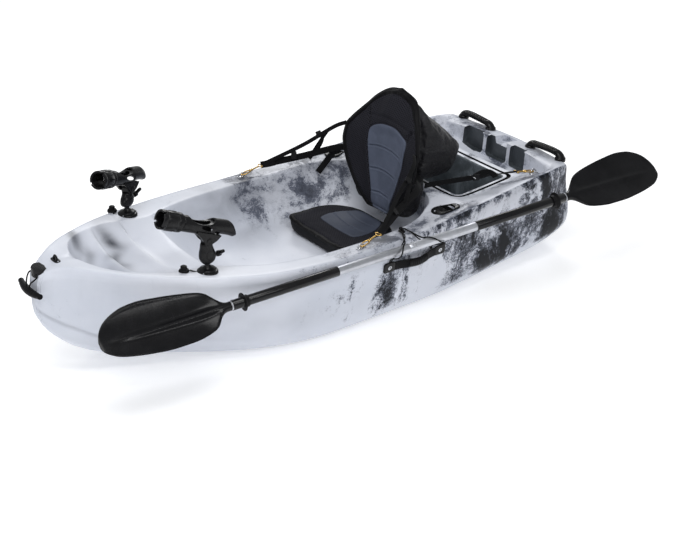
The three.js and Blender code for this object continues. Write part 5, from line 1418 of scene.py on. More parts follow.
def seat_cloth(name, painted_light_gain):
    """Air mesh, a smooth foam panel where "panel" is positive, and a tape where "edge" is small."""
    k = Mat(name)
    panel = k.ramp(k.math("MULTIPLY_ADD", k.attr("panel"), 400.0, 0.5), [(0.0, 0.0), (1.0, 1.0)])
    edge = k.ramp(k.math("MULTIPLY_ADD", k.attr("edge"), -400.0, 6.9), [(0.0, 0.0), (1.0, 1.0)])
    cells = k.hexes(0.0072, (0, 1, 0), (0.12, 0, 0.99))
    flat_cells = k.hexes(0.0072, (0, 1, 0), (1, 0, 0))
    geo = k.node("NewGeometry").outputs["Normal"]
    up = k.node("SeparateXYZ", {0: geo}).outputs[2]
    lying = k.ramp(k.math("ABSOLUTE", up), [(0.55, 0.0), (0.75, 1.0)])
    net = k.mixc(lying, cells, flat_cells)
    tone = k.noise(18, 5, 0.65)
    fluff = k.noise(520, 2, 0.6)
    holes, threads = (0.0004, 0.0004, 0.0007), (0.0190, 0.0190, 0.0250)
    mesh = k.mixc(k.ramp(net, [(0.30, 0.0), (0.62, 1.0)]), holes, threads)
    mesh = k.mixc(k.ramp(tone, [(0.42, 0.0), (0.8, 0.25)]), mesh, (0.0090, 0.0090, 0.0115))
    # the gain scales the foam panel's colour: the back's copy is painted lighter and the base's darker, painted light
    # and painted shade on one fabric
    foam = k.mixc(k.ramp(k.noise(9, 6, 0.7), [(0.4, 0.0), (0.8, 1.0)]), tuple(c * painted_light_gain for c in (0.055, 0.064, 0.090)), tuple(c * painted_light_gain for c in (0.078, 0.090, 0.126)))
    tape = (0.0034, 0.0034, 0.0042)
    col = k.mixc(edge, mesh, tape)
    col = k.mixc(panel, col, foam)
    smoothness = k.math("SUBTRACT", 1.0, edge)
    netty = k.math("MULTIPLY", smoothness, k.math("SUBTRACT", 1.0, panel))
    h = k.math("MULTIPLY_ADD", k.math("MULTIPLY", net, netty), 1.0, k.math("MULTIPLY", fluff, 0.18))
    r = k.math("MULTIPLY_ADD", netty, 0.20, 0.50)
    r = k.math("MULTIPLY_ADD", tone, 0.12, k.math("ADD", r, -0.06), clamp=True)
    k.set(Base_Color=col, Roughness=r, Normal=k.bump(h, 0.75, 0.0011), Specular_IOR_Level=0.09, Sheen_Weight=0.0)
    return k.m


def nylon(name, color, gloss=0.42):
    k = Mat(name)
    wrinkle = k.noise(26, 7, 0.62, 1.4, vec=k.mapping(scale=(1.0, 0.7, 1.5)))
    fold = k.math("ABSOLUTE", k.math("ADD", wrinkle, -0.5))
    fine = k.noise(95, 5, 0.6, 0.8)
    weave = k.noise(900, 1, 0.5)
    col = k.mixc(k.ramp(k.noise(8, 5, 0.6), [(0.35, 0.0), (0.75, 1.0)]), color, [c * 1.9 for c in color])
    h = k.math("MULTIPLY_ADD", fine, 0.22, k.math("MULTIPLY", fold, -2.4))
    n1 = k.bump(h, 0.85, 0.004)
    n2 = k.bump(weave, 0.25, 0.0003, normal=n1)
    k.set(Base_Color=col, Roughness=k.math("MULTIPLY_ADD", fine, 0.16, gloss - 0.08), Normal=n2, Specular_IOR_Level=0.26, Sheen_Weight=0.03)
    return k.m


# one fabric in two copies: the back's foam painted lighter (painted light), the base's foam darker (painted shade)
M["seat"] = seat_cloth("seat_cloth", 1.34)
M["seat_base"] = seat_cloth("seat_cloth_base", 0.84)
M["bag"] = nylon("bag_cloth", (0.0075, 0.0075, 0.0092), 0.38)
M["bag_dark"] = nylon("pocket_cloth", (0.0038, 0.0038, 0.0046), 0.48)
M["buckle"] = metal("buckle_grey", (0.50, 0.51, 0.53), 0.3)

EVA = [(-94, 500), (-82, 518), (-48, 535), (-7, 543), (41, 544), (82, 532), (112, 514), (114, 471), (114, 427), (106, 381), (96, 333), (78, 281), (52, 232), (-32, 233), (-45, 290), (-60, 340), (-78, 400), (-92, 455)]
EVA_LINE = [(float(p[0]), float(p[1])) for p in closed_spline(EVA, 144)]
FAR_RIDGE = [(-116, 571), (-113, 550), (-100, 528), (-92, 463), (-73, 394), (-52, 325), (-30, 240)]
NEAR_RIDGE = [(127, 554), (113, 539), (114, 507), (123, 460), (119, 393), (108, 316), (84, 262)]


def make_seat_back():
    zs = [222.5, 223.5, 225.5, 228.5, 232.5] + list(np.arange(238, 650, 6.0)) + [650, 655, 660, 664, 668, 671, 674, 676, 677.5]
    n = 52
    rings, py, pz, ps, edge = [], [], [], [], []
    for z in zs:
        zc = min(676, max(222, z))
        w = float(backHalf(zc))
        t = 30 if z < 650 else mix(30, 15, (z - 650) / 27.5)
        e = math.sqrt(max(0.0, 1 - (max(0, 236 - z) / 14.2) ** 2)) * math.sqrt(max(0.0, 1 - (max(0, z - 658) / 20.5) ** 2))
        cx, f = float(backX(z)), float(wing(zc))
        r = []
        for i in range(2 * n):
            a = math.pi * (i + 0.5) / n
            k = math.cos(a)
            k = math.copysign(abs(k) ** 0.92, k)
            s = math.sin(a)
            th = t / 2 * math.copysign(abs(s) ** 0.62, s) * max(0.12, e)
            r.append((cx - 16 + f * abs(k) ** 2.4 + th * 0.98, k * w, z))
            py.append(k * w)
            pz.append(z)
            ps.append(1 if s > 0 else -1)
        rings.append(r)
    ob = loft("seat_back_pad", rings, M["seat"])
    outward(ob)
    co = coords(ob) * 1000
    # seen from the front the shell may have been welded: the front is nearer the bow than the middle sheet
    zc = np.clip(co[:, 2], 222, 676)
    k = np.clip(np.abs(co[:, 1]) / np.maximum(8, backHalf(zc)), 0, 1)
    mid = backX(co[:, 2]) - 16 + wing(zc) * k ** 2.4
    front = np.sign(co[:, 0] - mid)
    put_attr(ob, "py", co[:, 1])
    put_attr(ob, "pz", co[:, 2])
    put_attr(ob, "front", front)
    rim = (k > 0.94) | (co[:, 2] < 228) | (co[:, 2] > 668)
    inflate(ob, rim, 3.2, 0.007, -0.012, 18)
    subdivide(ob, 1)
    subdivide(ob, 1)
    y, z, s = get_attr(ob, "py"), get_attr(ob, "pz"), get_attr(ob, "front")
    pts = np.stack([y, z], -1)
    outline = [(float(backHalf(v)), v) for v in np.linspace(223, 676, 90)]
    outline = outline + [(-a, b) for a, b in outline[::-1]]
    rimd = polygon_distance(pts, outline)
    d = polygon_distance(pts, EVA_LINE)
    sf = np.clip(s, 0, 1)
    h = np.zeros(len(y))
    h += 2.6 * smooth(-1.2, 1.2, d)
    h -= 2.2 * np.exp(-((d + 3.2) / 2.4) ** 2)
    for z0 in (457, 375, 291):
        c = z - (z0 - 14 * (y / 100) ** 2)
        on = smooth(2, 8, d)
        h += on * (-3.6 * np.exp(-(c / 2.6) ** 2) + 1.3 * np.exp(-((c - 6) / 3.2) ** 2) + 0.6 * np.exp(-((c + 6.5) / 3.5) ** 2))
    for line in (FAR_RIDGE, NEAR_RIDGE):
        q = line_distance(pts, line)
        h += (-5.6 * np.exp(-(q / 5.0) ** 2) + 3.4 * np.exp(-((q - 14) / 9) ** 2)) * (1 - smooth(-6, 0, d))
    h -= 7 * smooth(0, 40, d) * smooth(228, 300, z)
    h -= 3.0 * np.exp(-((rimd - 16) / 2.4) ** 2) * (rimd > 2)
    h += 1.8 * np.exp(-((rimd - 8) / 4.0) ** 2)
    h += 4.0 * smooth(555, 600, z) * (1 - smooth(640, 670, z)) * np.exp(-(y / 70) ** 2)
    h -= 3.2 * np.exp(-((z - (566 - 10 * (y / 100) ** 2)) / 6) ** 2) * smooth(12, 30, rimd) * (np.abs(y) < 128)
    back = -1.6 * np.exp(-((rimd - 13) / 2.0) ** 2) * (rimd > 2) + 1.2 * np.sin(z / 33) * smooth(10, 40, rimd)
    co, no = coords(ob), normals(ob)
    move_by = (h * sf + back * (1 - sf)) * smooth(0, 7, rimd) / 1000
    set_coords(ob, co + no * move_by[:, None])
    put_attr(ob, "panel", np.where(s > 0, d, -20) / 1000)
    put_attr(ob, "edge", (rimd - 0.0) / 1000)
    mark_sharp(ob, 89)
    # cord sewn into the rim
    path = []
    for v in list(np.linspace(226, 676, 120)):
        path.append((float(backX(v)) - 16 + float(wing(v)), float(backHalf(v)) + 0.6, v))
    full = path + [(float(backX(679)) - 20, 0, 680)] + [(a, -b, c) for a, b, c in path[::-1]]
    cord = sweep("piping", spline(full, 260), (1, 0, 0.14), circle(3.0, 10), M["tape"])
    outward(cord)
    put_attr(cord, "panel", [-0.02] * len(cord.data.vertices))
    # the crown is a low arch
    for o in (ob, cord):
        co = coords(o)
        co[:, 2] -= 0.012 * smooth(0.560, 0.677, co[:, 2]) * np.exp(-(co[:, 1] / 0.085) ** 2)
        set_coords(o, co)
    return ob, cord


seat_pad, piping = make_seat_back()
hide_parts("seat_back")
for o in (seat_pad, piping):
    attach(o, "seat_back")


def make_seat_base():
    outline = [(-52, 0), (-50, 70), (-46, 130), (-52, 162), (-72, 178), (-120, 183), (-190, 180), (-250, 160), (-296, 118), (-316, 70), (-318, 0)]
    full = outline + [(x, -y) for x, y in outline[1:-1][::-1]]
    loop = [(float(p[0]), float(p[1])) for p in closed_spline(full, 132)]

    def level(x, y, top):
        low = float(deck(x, y)) + 1.2
        if not top:
            return low
        return max(201 + 14 * (abs(y) / 180) ** 3 + 8 * float(smooth(-110, -50, x)), low + 12)

    rings = []
    for k, top, lift in ((0.06, 0, 0), (0.3, 0, 0), (0.55, 0, 0), (0.75, 0, 0), (0.88, 0, 0), (0.95, 0, 5), (0.985, 0.5, 0), (1.0, 1, -13), (1.0, 1, -7), (0.992, 1, -3), (0.975, 1, -0.8), (0.95, 1, 0.4)):
        r = []
        for x, y in loop:
            a, b = -185 + (x + 185) * k, y * k
            z = mix(level(a, b, 0), level(a, b, 1) - 13, 0.55) if top == 0.5 else level(a, b, bool(top)) + lift
            r.append((a, b, z))
        rings.append(r)
    for k in list(np.arange(0.92, 0.05, -0.035)):
        rings.append([(-185 + (x + 185) * k, y * k, level(-185 + (x + 185) * k, y * k, 1) + 0.5) for x, y in loop])
    ob = loft("seat_base_pad", rings, M["seat_base"])
    outward(ob)
    co = coords(ob) * 1000
    low = np.array([float(deck(a, b)) for a, b in co[:, :2]])
    under = co[:, 2] < low + 8
    put_attr(ob, "px", co[:, 0])
    put_attr(ob, "py", co[:, 1])
    put_attr(ob, "front", np.where(under, -1, 1))
    rim = polygon_distance(co[:, :2], loop)
    inflate(ob, under | (rim < 3), 3.0, 0.006, -0.012, 16)
    subdivide(ob, 1)
    x, y, s = get_attr(ob, "px"), get_attr(ob, "py"), get_attr(ob, "front")
    pts = np.stack([x, y], -1)
    rim = polygon_distance(pts, loop)
    shape = [(-140, -88), (-138, -40), (-137, 0), (-138, 40), (-140, 88), (-150, 104), (-190, 110), (-240, 98), (-284, 70), (-302, 40), (-304, 0), (-302, -40), (-284, -70), (-240, -98), (-190, -110), (-150, -104)]
    shape = [(float(p[0]), float(p[1])) for p in closed_spline(shape, 120)]
    d = polygon_distance(pts, shape)
    h = 1.6 * smooth(-1, 1, d) - 2.4 * np.exp(-((d + 3) / 2.4) ** 2) - 2.6 * np.exp(-((rim - 15) / 2.6) ** 2)
    h -= 3.0 * smooth(0, 50, d)
    h += 2.0 * np.exp(-((rim - 30) / 12) ** 2)
    for x0 in (-192, -246):
        c = x - (x0 - 10 * (y / 90) ** 2)
        h -= 2.2 * np.exp(-(c / 2.6) ** 2) * smooth(3, 9, d)
    co, no = coords(ob), normals(ob)
    set_coords(ob, co + no * (h * np.clip(s, 0, 1) * smooth(0, 6, rim) / 1000)[:, None])
    put_attr(ob, "panel", np.where(s > 0, d, -20) / 1000)
    put_attr(ob, "edge", (rim + 1) / 1000)
    mark_sharp(ob, 89)
    path = [(x, y, level(x * 0.998, y * 0.998, 1) - 7) for x, y in loop + loop[:1]]
    cord = sweep("base_piping", path, (0, 0, 1), circle(2.8, 10), M["tape"])
    outward(cord)
    put_attr(cord, "panel", [-0.02] * len(cord.data.vertices))
    return ob, cord


base_pad, base_piping = make_seat_base()
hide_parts("seat_base")
for o in (base_pad, base_piping):
    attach(o, "hull")


def make_bag():
    rows = [(352, 112, 540), (366, 120, 588), (400, 124, 612), (440, 124, 628), (480, 122, 596), (520, 118, 556), (560, 112, 512), (600, 100, 474), (628, 84, 452)]
    half = table([(a, b) for a, b, _ in rows])
    rear = table([(a, c) for a, _, c in rows])
    rings = []
    zs = [352, 354, 358, 364] + list(np.arange(371, 620, 7.0)) + [620, 624, 627, 628]
    for z in zs:
        e = 1 - 0.10 * (1 - math.sqrt(max(0, 1 - (max(0, 362 - z) / 10) ** 2))) - 0.16 * (1 - math.sqrt(max(0, 1 - (max(0, z - 618) / 10.2) ** 2)))
        w = float(half(z)) * e
        front, aft = float(backX(z)) - 36, -float(rear(z)) - 2
        cx = (front + aft) / 2
        a = (front - aft) / 2 * (e if z > 600 else 1)
        r = []
        for i in range(96):
            t = 2 * math.pi * i / 96
            c, s = math.cos(t), math.sin(t)
            r.append((cx + a * math.copysign(abs(c) ** 0.45, c), w * math.copysign(abs(s) ** 0.45, s), z))
        rings.append(r)
    ob = loft("seat_bag_shell", rings, M["bag"])
    outward(ob)
    co = coords(ob) * 1000
    near_front = co[:, 0] > np.array([float(backX(z)) for z in co[:, 2]]) - 44
    put_attr(ob, "held", near_front.astype(float))
    inflate(ob, near_front, 2.6, 0.009, -0.05, 20, 8, 0.1)
    subdivide(ob, 1)
    held = get_attr(ob, "held")
    co, no = coords(ob), normals(ob)
    f = 1 - smooth(0.2, 0.8, held)
    k = crumple(co, 22, 1.0, 3.1)
    k2 = crumple(co * [1, 0.6, 1.4], 48, 1.0, 7.7)
    h = (1.9 * k + 0.9 * k2) * f
    # zip line round the top
    z = co[:, 2] * 1000
    h -= 1.6 * np.exp(-((z - 604) / 2.2) ** 2) * f
    set_coords(ob, co + no * (np.clip(h, -4.5, 3.5) / 1000)[:, None])
    mark_sharp(ob, 89)
    return ob


bag = make_bag()
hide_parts("seat_bag")
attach(bag, "seat_back")


def make_pocket():
    rows = [(244, 90, 112, 140, -325, -376, -392), (268, 104, 132, 160, -325, -385, -405), (308, 118, 148, 168, -325, -393, -414), (346, 140, 164, 172, -335, -400, -424), (384, 150, 168, 172, -345, -404, -432)]
    cols = [table([(r[0], r[i]) for r in rows]) for i in range(1, 7)]
    rings = []
    for z in [244, 245.5, 248.5, 253] + list(np.arange(259, 378, 6.5)) + [379, 382, 384]:
        y0, y1, y2, xf, xm, xa = (float(c(z)) for c in cols)
        e = 1 - 0.05 * (1 - math.sqrt(max(0, 1 - (max(0, 252 - z) / 8.2) ** 2)))
        bh = float(backHalf(z))
        inside = lambda y: float(backX(z)) + float(wing(z)) * min(1, y / bh) ** 2.4 - 19
        half = [(inside(0), 0), (inside(y0 * 0.75), y0 * 0.75), (xf - 3, y1), (mix(xf, xm, 0.4), y2), (xm + 10, y2 - 4), (xm - 8, y2 - 26), (xa, y2 * 0.45), (xa, 0)]
        half = [(x, y * e) for x, y in half]
        loop = half + [(x, -y) for x, y in half[1:-1][::-1]]
        rings.append([(float(p[0]), float(p[1]), z) for p in closed_spline(loop, 96)])
    ob = loft("seat_pocket_shell", rings, M["bag_dark"])
    outward(ob)
    co = coords(ob) * 1000
    mid = np.array([float(backX(z)) + float(wing(z)) * min(1, abs(y) / float(backHalf(z))) ** 2.4 - 26 for y, z in co[:, 1:]])
    held = (co[:, 0] > mid) | (co[:, 2] < 246) | (co[:, 2] > 380)
    inflate(ob, held, 2.4, 0.006, -0.04, 16, 8, 0.1)
    subdivide(ob, 1)
    co, no = coords(ob), normals(ob)
    h = 1.1 * crumple(co * [1, 0.5, 1.3], 26, 1.0, 5.5, 3)
    set_coords(ob, co + no * (np.clip(h, -3, 2.5) / 1000)[:, None])
    mark_sharp(ob, 89)
    return ob


pocket = make_pocket()
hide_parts("seat_pocket")
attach(pocket, "seat_back")

# ------------------------------------------------------------------ straps and hooks
HINGE = Vector((-0.338, 0, 0.212))


def web(name, pts, w, side, t=2.0, n=60, sides=None, wave=0.0):
    path = spline(pts, n)
    if wave:
        path = [p + np.array([0, 0, wave * math.sin(i * 0.5) * math.sin(math.pi * i / n)]) for i, p in enumerate(path)]
    o = sweep(name, path, sides or (0, 0.35 * side, 1), ribbon_section(w, t, min(0.9, t / 2 - 0.05)), M["webbing"])
    return outward(o)


def ring_loop(name, pts, r, side_dir, mat):
    return outward(sweep(name, pts, side_dir, circle(r, 14), mat))


for tag, side in (("port", 1), ("stbd", -1)):
    for end, eye, tip in (("fore", (22, 364), (-62, 356, 349)), ("aft", (-804, 299), (-722, 285, 377))):
        slope = float(deck(eye[0], eye[1] + 8) - deck(eye[0], eye[1] - 8)) / 16
        root = np.array([eye[0], eye[1] - 7.8 * slope, float(deck(*eye)) + 7.6])
        dirv = np.array(tip, float) - root
        length = float(np.linalg.norm(dirv))
        u = dirv / length
        nn = np.array([-u[1], u[0], 0.0])
        nn /= np.linalg.norm(nn)
        v = np.cross(u, nn)
        mirror = np.array([1, side, 1])
        along = lambda d, a=0, b=0: (root + u * d + nn * a + v * b) * mirror
        vdir = tuple(v * mirror)
        # open hook with a gate, a swivel barrel and an eye for the webbing
        pts = []
        for i in range(41):
            t = 0.42 + (i / 40) * (2 * math.pi - 0.84)
            pts.append(along(19 + 20 * math.cos(t), 8.5 * math.sin(t)))
        hook = ring_loop("hook", pts, 2.4, vdir, M["brass"])
        gate = ring_loop("gate", [along(3, -7.4), along(16, -9.4), along(30, -8.2)], 1.7, vdir, M["brass"])
        ud = Vector(tuple(u * mirror))
        q = Vector((0, 0, 1)).rotation_difference(ud).to_matrix().to_4x4()
        barrel = lathe("barrel", [(0, 32), (3.6, 32.6), (5.0, 34), (5.4, 36), (5.0, 38.4), (3.6, 39.6), (3.3, 41), (4.4, 42), (5.0, 43.6), (4.4, 45.4), (3.0, 46.4), (2.8, 48), (2.8, length - 14), (0, length - 14)], 28, M["brass"])
        move(barrel, q, T(*(root * mirror)))
        half_w = 13.2 if end == "fore" else 13.0
        L = length - 7
        eye_ring = ring_loop("eye", [along(L - 9, 0), along(L - 6, 6, 0), along(L - 2, half_w, 0), along(L + 2.4, half_w - 1, 0), along(L + 3, 0, 0), along(L + 2.4, -half_w + 1, 0), along(L - 2, -half_w, 0), along(L - 6, -6, 0), along(L - 9, 0)], 2.0, vdir, M["brass"])
        hk = join(f"hook_{end}_{tag}", [hook, gate, barrel, eye_ring])
        mark_sharp(hk, 60)
        stand_for(hk, f"snap_hook_{end}_{tag}", "hull")
        start = along(length + 0.6)
        s = lambda x, y, z: (x, side * y, z)
        if end == "fore":
            facing = (0.35, -0.55 * side, 0.75) if side > 0 else None
            upper = web(f"strap_upper_{tag}", [start, s(-200, 279, 423), s(-306, 226, 488), s(-330, 196, 505)], 15, side, sides=facing)
            lower = web(f"strap_lower_{tag}", [start, s(-200, 288, 374), s(-318, 236, 396), s(-348, 200, 402)], 24, side, sides=facing)
            brace = web(f"strap_brace_{tag}", [s(-277, 243, 468), s(-256, 262, 424), s(-230, 275, 378)], 18, side, 2.0, 20, (1, 0, 0.2))
            sleeve = web("fold", [along(length - 4, 0, 1.2), start, s(-84, 343.8, 352.5), s(-104, 333, 357)], 24.6, side, 4.6, 14, sides=facing)
            bk = []
            for at, nxt, w in ((s(-166, 300, 380), s(-190, 288, 379), 30), (s(-252, 262, 457), s(-270, 250, 466), 21)):
                dv = Vector(nxt) - Vector(at)
                path = [np.array(at) + np.array(dv.normalized()) * k for k in (-10, -9.2, 9.2, 10)]
                wd = w if at[2] < 400 else w
                b = outward(sweep("buckle", path, facing or (0, 0.35 * side, 1), lambda t, wd=wd: rounded_rect(wd * (0.94 if t in (0, 1) else 1), 7.5 * (0.8 if t in (0, 1) else 1), 2.2, 4), M["black"]))
                mark_sharp(b, 40)
                bk.append(b)
            group = [upper, lower, brace, sleeve] + bk
        else:
            turned = [tuple(mix(np.array([0.30, 0.80 * side, 0.50]), np.array([0, 0.35 * side, 1.0]), float(smooth(0.22, 0.42, i / 60)))) for i in range(61)]
            main = web(f"strap_rear_{tag}", [start, s(-560, 220, 370), s(-430, 172, 363), s(-405, 166, 362)], 24, side, sides=turned)
            second = web("doubled", [s(-612, 241, 373), s(-600, 239.5, 376), s(-585, 232, 374.4)], 24, side, 2.0, 20)
            fold = web("fold", [along(length - 4, 0, 1.2), start, s(-700, 276.8, 377), s(-684, 270.8, 376.4)], 24.6, side, 4.6, 14, sides=(0.30, 0.80 * side, 0.50))
            at = np.array(s(-588, 232.4, 372.6))
            dv = np.array(s(-560, 220, 370)) - at
            dv /= np.linalg.norm(dv)
            b = outward(sweep("buckle", [at + dv * k for k in (-11, -10.2, 10.2, 11)], (0, 0.35 * side, 1), lambda t: rounded_rect(31 * (0.95 if t in (0, 1) else 1), 8 * (0.8 if t in (0, 1) else 1), 2.2, 4), M["black"]))
            mark_sharp(b, 40)
            bar = outward(sweep("bar", [at + dv * 13 + np.array([0, -15 * side, 3.4]), at + dv * 13 + np.array([0, 15 * side, 1.0])], (0, 0, 1), circle(1.7, 12), M["buckle"]))
            group = [main, second, fold, b, bar]
            if side > 0:
                curl = web("tail", [at + dv * 6 + np.array([0, 0, 4.0]), at + dv * -14 + np.array([0, 5, 15]), at + dv * -34 + np.array([0, 12, 18]), at + dv * -50 + np.array([0, 18, 8]), at + dv * -56 + np.array([0, 21, -3])], 24, side, 2.0, 30)
                group.append(curl)
        if end == "fore" and side < 0:
            tail = web("tail", [(-258, -259, 455), (-268, -262, 436), (-262, -268, 408), (-240, -272, 384), (-217, -274, 362)], 14, side, 1.8, 30, (0.6, 0, 0.8))
            hang = web("tail_low", [(-322, -236, 395), (-306, -250, 372), (-289, -265, 340), (-270, -272, 314), (-256, -274, 299)], 23, side, 2.2, 30, (0.44, -0.66, 0.56))
            group += [tail, hang]
        strap = join(f"strap_{end}_{tag}", group)
        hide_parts(f"seat_strap_{end}_{tag}")
        if end == "fore":
            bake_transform(strap)
        else:
            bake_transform(strap)

# ------------------------------------------------------------------ rod holders
ROD = {"port": (463, 0, -1.7, 23.3, -3, 35), "stbd": (443, -10, 29.3, 17.6, 10, 48)}


def dense(points, n):
    """More rings along a loft, with the radii eased between the given ones."""
    ts = [p[0] for p in points]
    cols = [table([(p[0], p[i]) for p in points]) for i in range(1, len(points[0]))]
    return [(float(t), *(float(c(t)) for c in cols)) for t in np.linspace(ts[0], ts[-1], n)]


for tag, side in (("port", 1), ("stbd", -1)):
    bx, by = 543, side * 262
    bz = float(deck(543, 262))
    pivot, lean, turn, tilt, out, kturn = ROD[tag]
    swivel = (RZ(turn), T(bx, by, 0))
    prof = [(0, -12), (34, -12), (34, 3.4), (33.4, 5.2), (31.8, 6.6), (29, 7.6), (27.4, 7.8), (26.8, 9.2), (26.8, 11.6), (25.4, 13), (19, 15), (14, 17.6), (11.2, 20.8), (8.6, 24), (8, 27), (8, 34.4)]
    for k in range(13):
        a = rad(-50 + 140 * k / 12)
        prof.append((12.4 * math.cos(a) if k < 12 else 0, 44 + 12.4 * math.sin(a)))
    base = lathe("rod_foot", prof, 64, M["black"])
    move(base, T(bx, by, bz))
    cut_by_hull(base)
    base.name = f"rod_foot_{tag}"
    mark_sharp(base, 40)
    stand_for(base, f"rod_base_{tag}", "hull")
    for a in (35, 155, 275):
        c, s = math.cos(rad(a)), math.sin(rad(a))
        screw((bx + 30.3 * c, by + 30.3 * s, bz + 6.6), (c * 0.25, s * 0.25, 1), 2.9, turn=a)

    z0 = bz + 32
    up = lambda t: z0 + (pivot - 14 - z0) * t
    rows = [(0, 15, 14, 0), (0.13, 24, 17.5, -2), (0.33, 28, 19, -2 + lean * 0.2), (0.52, 26, 19, -1 + lean * 0.4), (0.78, 21, 17, lean * 0.8), (1, 19, 16, lean)]
    rings = []
    for t, a, b, c in dense(rows, 26):
        e = 1.0 if 0.02 < t < 0.99 else 0.95
        rings.append([(c + a * e * math.copysign(abs(math.cos(q)) ** 0.85, math.cos(q)), b * e * math.copysign(abs(math.sin(q)) ** 0.85, math.sin(q)), up(t)) for q in np.linspace(0, 2 * math.pi, 56, endpoint=False)])
    arm = outward(loft("rod_arm", rings, M["black"]))
    tongue = lathe("tongue", [(0, -15.5), (10.2, -15.5), (11, -14.7), (11, 14.7), (10.2, 15.5), (0, 15.5)], 40, M["black"])
    move(tongue, RX(90), T(lean, 0, pivot))
    boolean(arm, tongue, "UNION")
    boolean(arm, box_object("neck", (21.6, 31, 16), (lean, 0, pivot - 8), M["black"]), "UNION")
    sock = lathe("socket", [(0, -3), (9.4, -3), (9.4, 4), (14.2, 6), (14.2, 24), (0, 26)], 40, M["black"])
    boolean(arm, move(sock, T(0, 0, z0)))
    shaft_hole = lathe("hole", [(0, -60), (5.4, -60), (5.4, -20), (0, -20)], 24, M["black"])
    boolean(arm, move(shaft_hole, RY(90), T(0, 0, z0 + 21)))
    # the two clamped halves part along the middle
    for s in (1, -1):
        # the gap's walls take the flat dark recess colour: painted shade in the gap
        boolean(arm, box_object("parting", (80, 1.3, 46), (lean * 0.4, s * 17.6, z0 + 34), M["dark_recess"]), material="TRANSFER")
    move(arm, *swivel)
    arm.name = f"rod_clamp_{tag}"
    edge_soften(arm, 0.0007, 2, 38)
    mark_sharp(arm, 42)
    stand_for(arm, f"rod_arm_{tag}", f"rod_arm_{tag}")

    knob = lathe("knob", [(0, -52 - out), (8, -52 - out), (9.5, -50 - out), (9.5, -40 - out), (8, -38 - out), (4.8, -37.6 - out), (4.8, -23), (0, -23)], 36, M["black"])
    move(knob, RY(90))
    bar = []
    for k, z in ((0.86, 0), (0.95, 0.8), (1, 2.2), (1, 10.8), (0.95, 12.2), (0.86, 13)):
        bar.append([(a * (0.72 + 0.28 * min(1, abs(b) / 22)) * k, b * (0.985 + 0.015 * k), z) for a, b in rounded_rect(11, 62, 5, 8)])
    bar = move(loft("bar", bar, M["black"]), RY(90), T(-53 - out, 0, 0))
    boolean(knob, outward(bar), "UNION")
    move(knob, RX(kturn), T(0, 0, z0 + 21), *swivel)
    knob.name = f"rod_wing_knob_{tag}"
    mark_sharp(knob, 42)
    stand_for(knob, f"rod_knob_{tag}", f"rod_knob_{tag}")

    holder = (RY(-tilt), T(lean, 0, pivot), *swivel)
    cradle = move(lathe("tube", [(0, -8), (25.5, -8), (26, 60), (26, 104), (25.4, 106), (24, 107), (24, 111.7), (0, 111.7)], 72, M["black"]), RY(90), T(0, 0, 38))
    hoops = []
    for x, ry, zc, rz in dense([(-94, 12, 33, 7), (-86, 17, 37, 15), (-73, 20.5, 44, 20.5), (-56, 22, 47.5, 23.5), (-12, 24, 46, 24), (20, 25, 40, 25.5)], 34):
        hoops.append([(x, ry * math.cos(q), zc + rz * math.sin(q)) for q in np.linspace(0, 2 * math.pi, 60, endpoint=False)])
    boolean(cradle, outward(loft("tail", hoops, M["black"])), "UNION")
    cheek_line = [(float(p[0]), float(p[1])) for p in spline([(-36, 24, 0), (-24, 4, 0), (-12, -7, 0), (0, -12, 0), (12, -9, 0), (28, 2, 0), (52, 16, 0)], 34)] + [(52, 24)]
    cheeks = move(prism("cheeks", cheek_line, -24, 24, M["black"]), RX(90))
    boolean(cradle, cheeks, "UNION")
    for prof, z in (([(0, -30), (17, -30), (19.5, 40), (21, 60), (21, 200), (0, 200)], 39), ([(0, -72), (15, -72), (16.5, 0), (0, 0)], 49)):
        boolean(cradle, move(lathe("bore", prof, 56, M["black"]), RY(90), T(0, 0, z)))
    mouth = move(lathe("mouth", [(0, -45), (34, -45), (34, 45), (0, 45)], 72, M["black"]), RX(90), S(1.62, 1, 1), T(42, 0, 82))
    boolean(cradle, mouth)
    boolean(cradle, box_object("gap", (90, 33.2, 24), (0, 0, -0.4), M["black"]))
    slot = lathe("slot", [(0, -75), (8, -75), (8, 75), (0, 75)], 40, M["black"])
    # the slot's round section lies across its own axis
    q = Vector((0, 1, 0)).rotation_difference(Vector((87, 54, 18)).normalized()).to_matrix().to_4x4()
    move(slot, RX(-90), S(1.35, 1, 0.9), q, T(-15, 0, 31))
    boolean(cradle, slot)
    for s in (1, -1):
        boss = move(lathe("boss", [(0, -2), (10, -2), (10, 1.4), (9, 2.2), (5.6, 2.4), (5.2, 1.2), (0, 1.2)], 36, M["black"]), RX(-90 * s), T(0, s * 24, 0))
        boolean(cradle, boss, "UNION")
    move(cradle, *holder)
    cradle.name = f"rod_saddle_{tag}"
    edge_soften(cradle, 0.0008, 2, 38)
    mark_sharp(cradle, 42)
    stand_for(cradle, f"rod_cradle_{tag}", f"rod_cradle_{tag}")

    prof = [(24, 112), (29.6, 112), (30.6, 112.8), (31, 115), (31, 126), (30.2, 127.2), (31, 128.4), (31, 164.6), (30.2, 166), (29.4, 167.5), (30.2, 169), (31, 170.4), (31, 181.6), (30.4, 183), (25.2, 183), (24, 181.8), (24, 112)]
    collar = move(lathe("collar", prof, 80, M["black"]), RY(90), T(0, 0, 38))
    for a, w in ((60, 7), (-150, 7), (-40, 7)):
        boolean(collar, move(box_object("notch", (16, 30, w), (183, 30, 0), M["black"]), RX(a), T(0, 0, 38)))
    for a in range(0, 360, 30):
        rib = move(box_object("rib", (30, 2.2, 2.4), (146, 31, 0), M["black"]), RX(a + 8), T(0, 0, 38))
        boolean(collar, rib, "UNION")
    move(collar, *holder)
    collar.name = f"rod_mouth_{tag}"
    edge_soften(collar, 0.0006, 2, 38)
    mark_sharp(collar, 42)
    stand_for(collar, f"rod_collar_{tag}", f"rod_collar_{tag}")

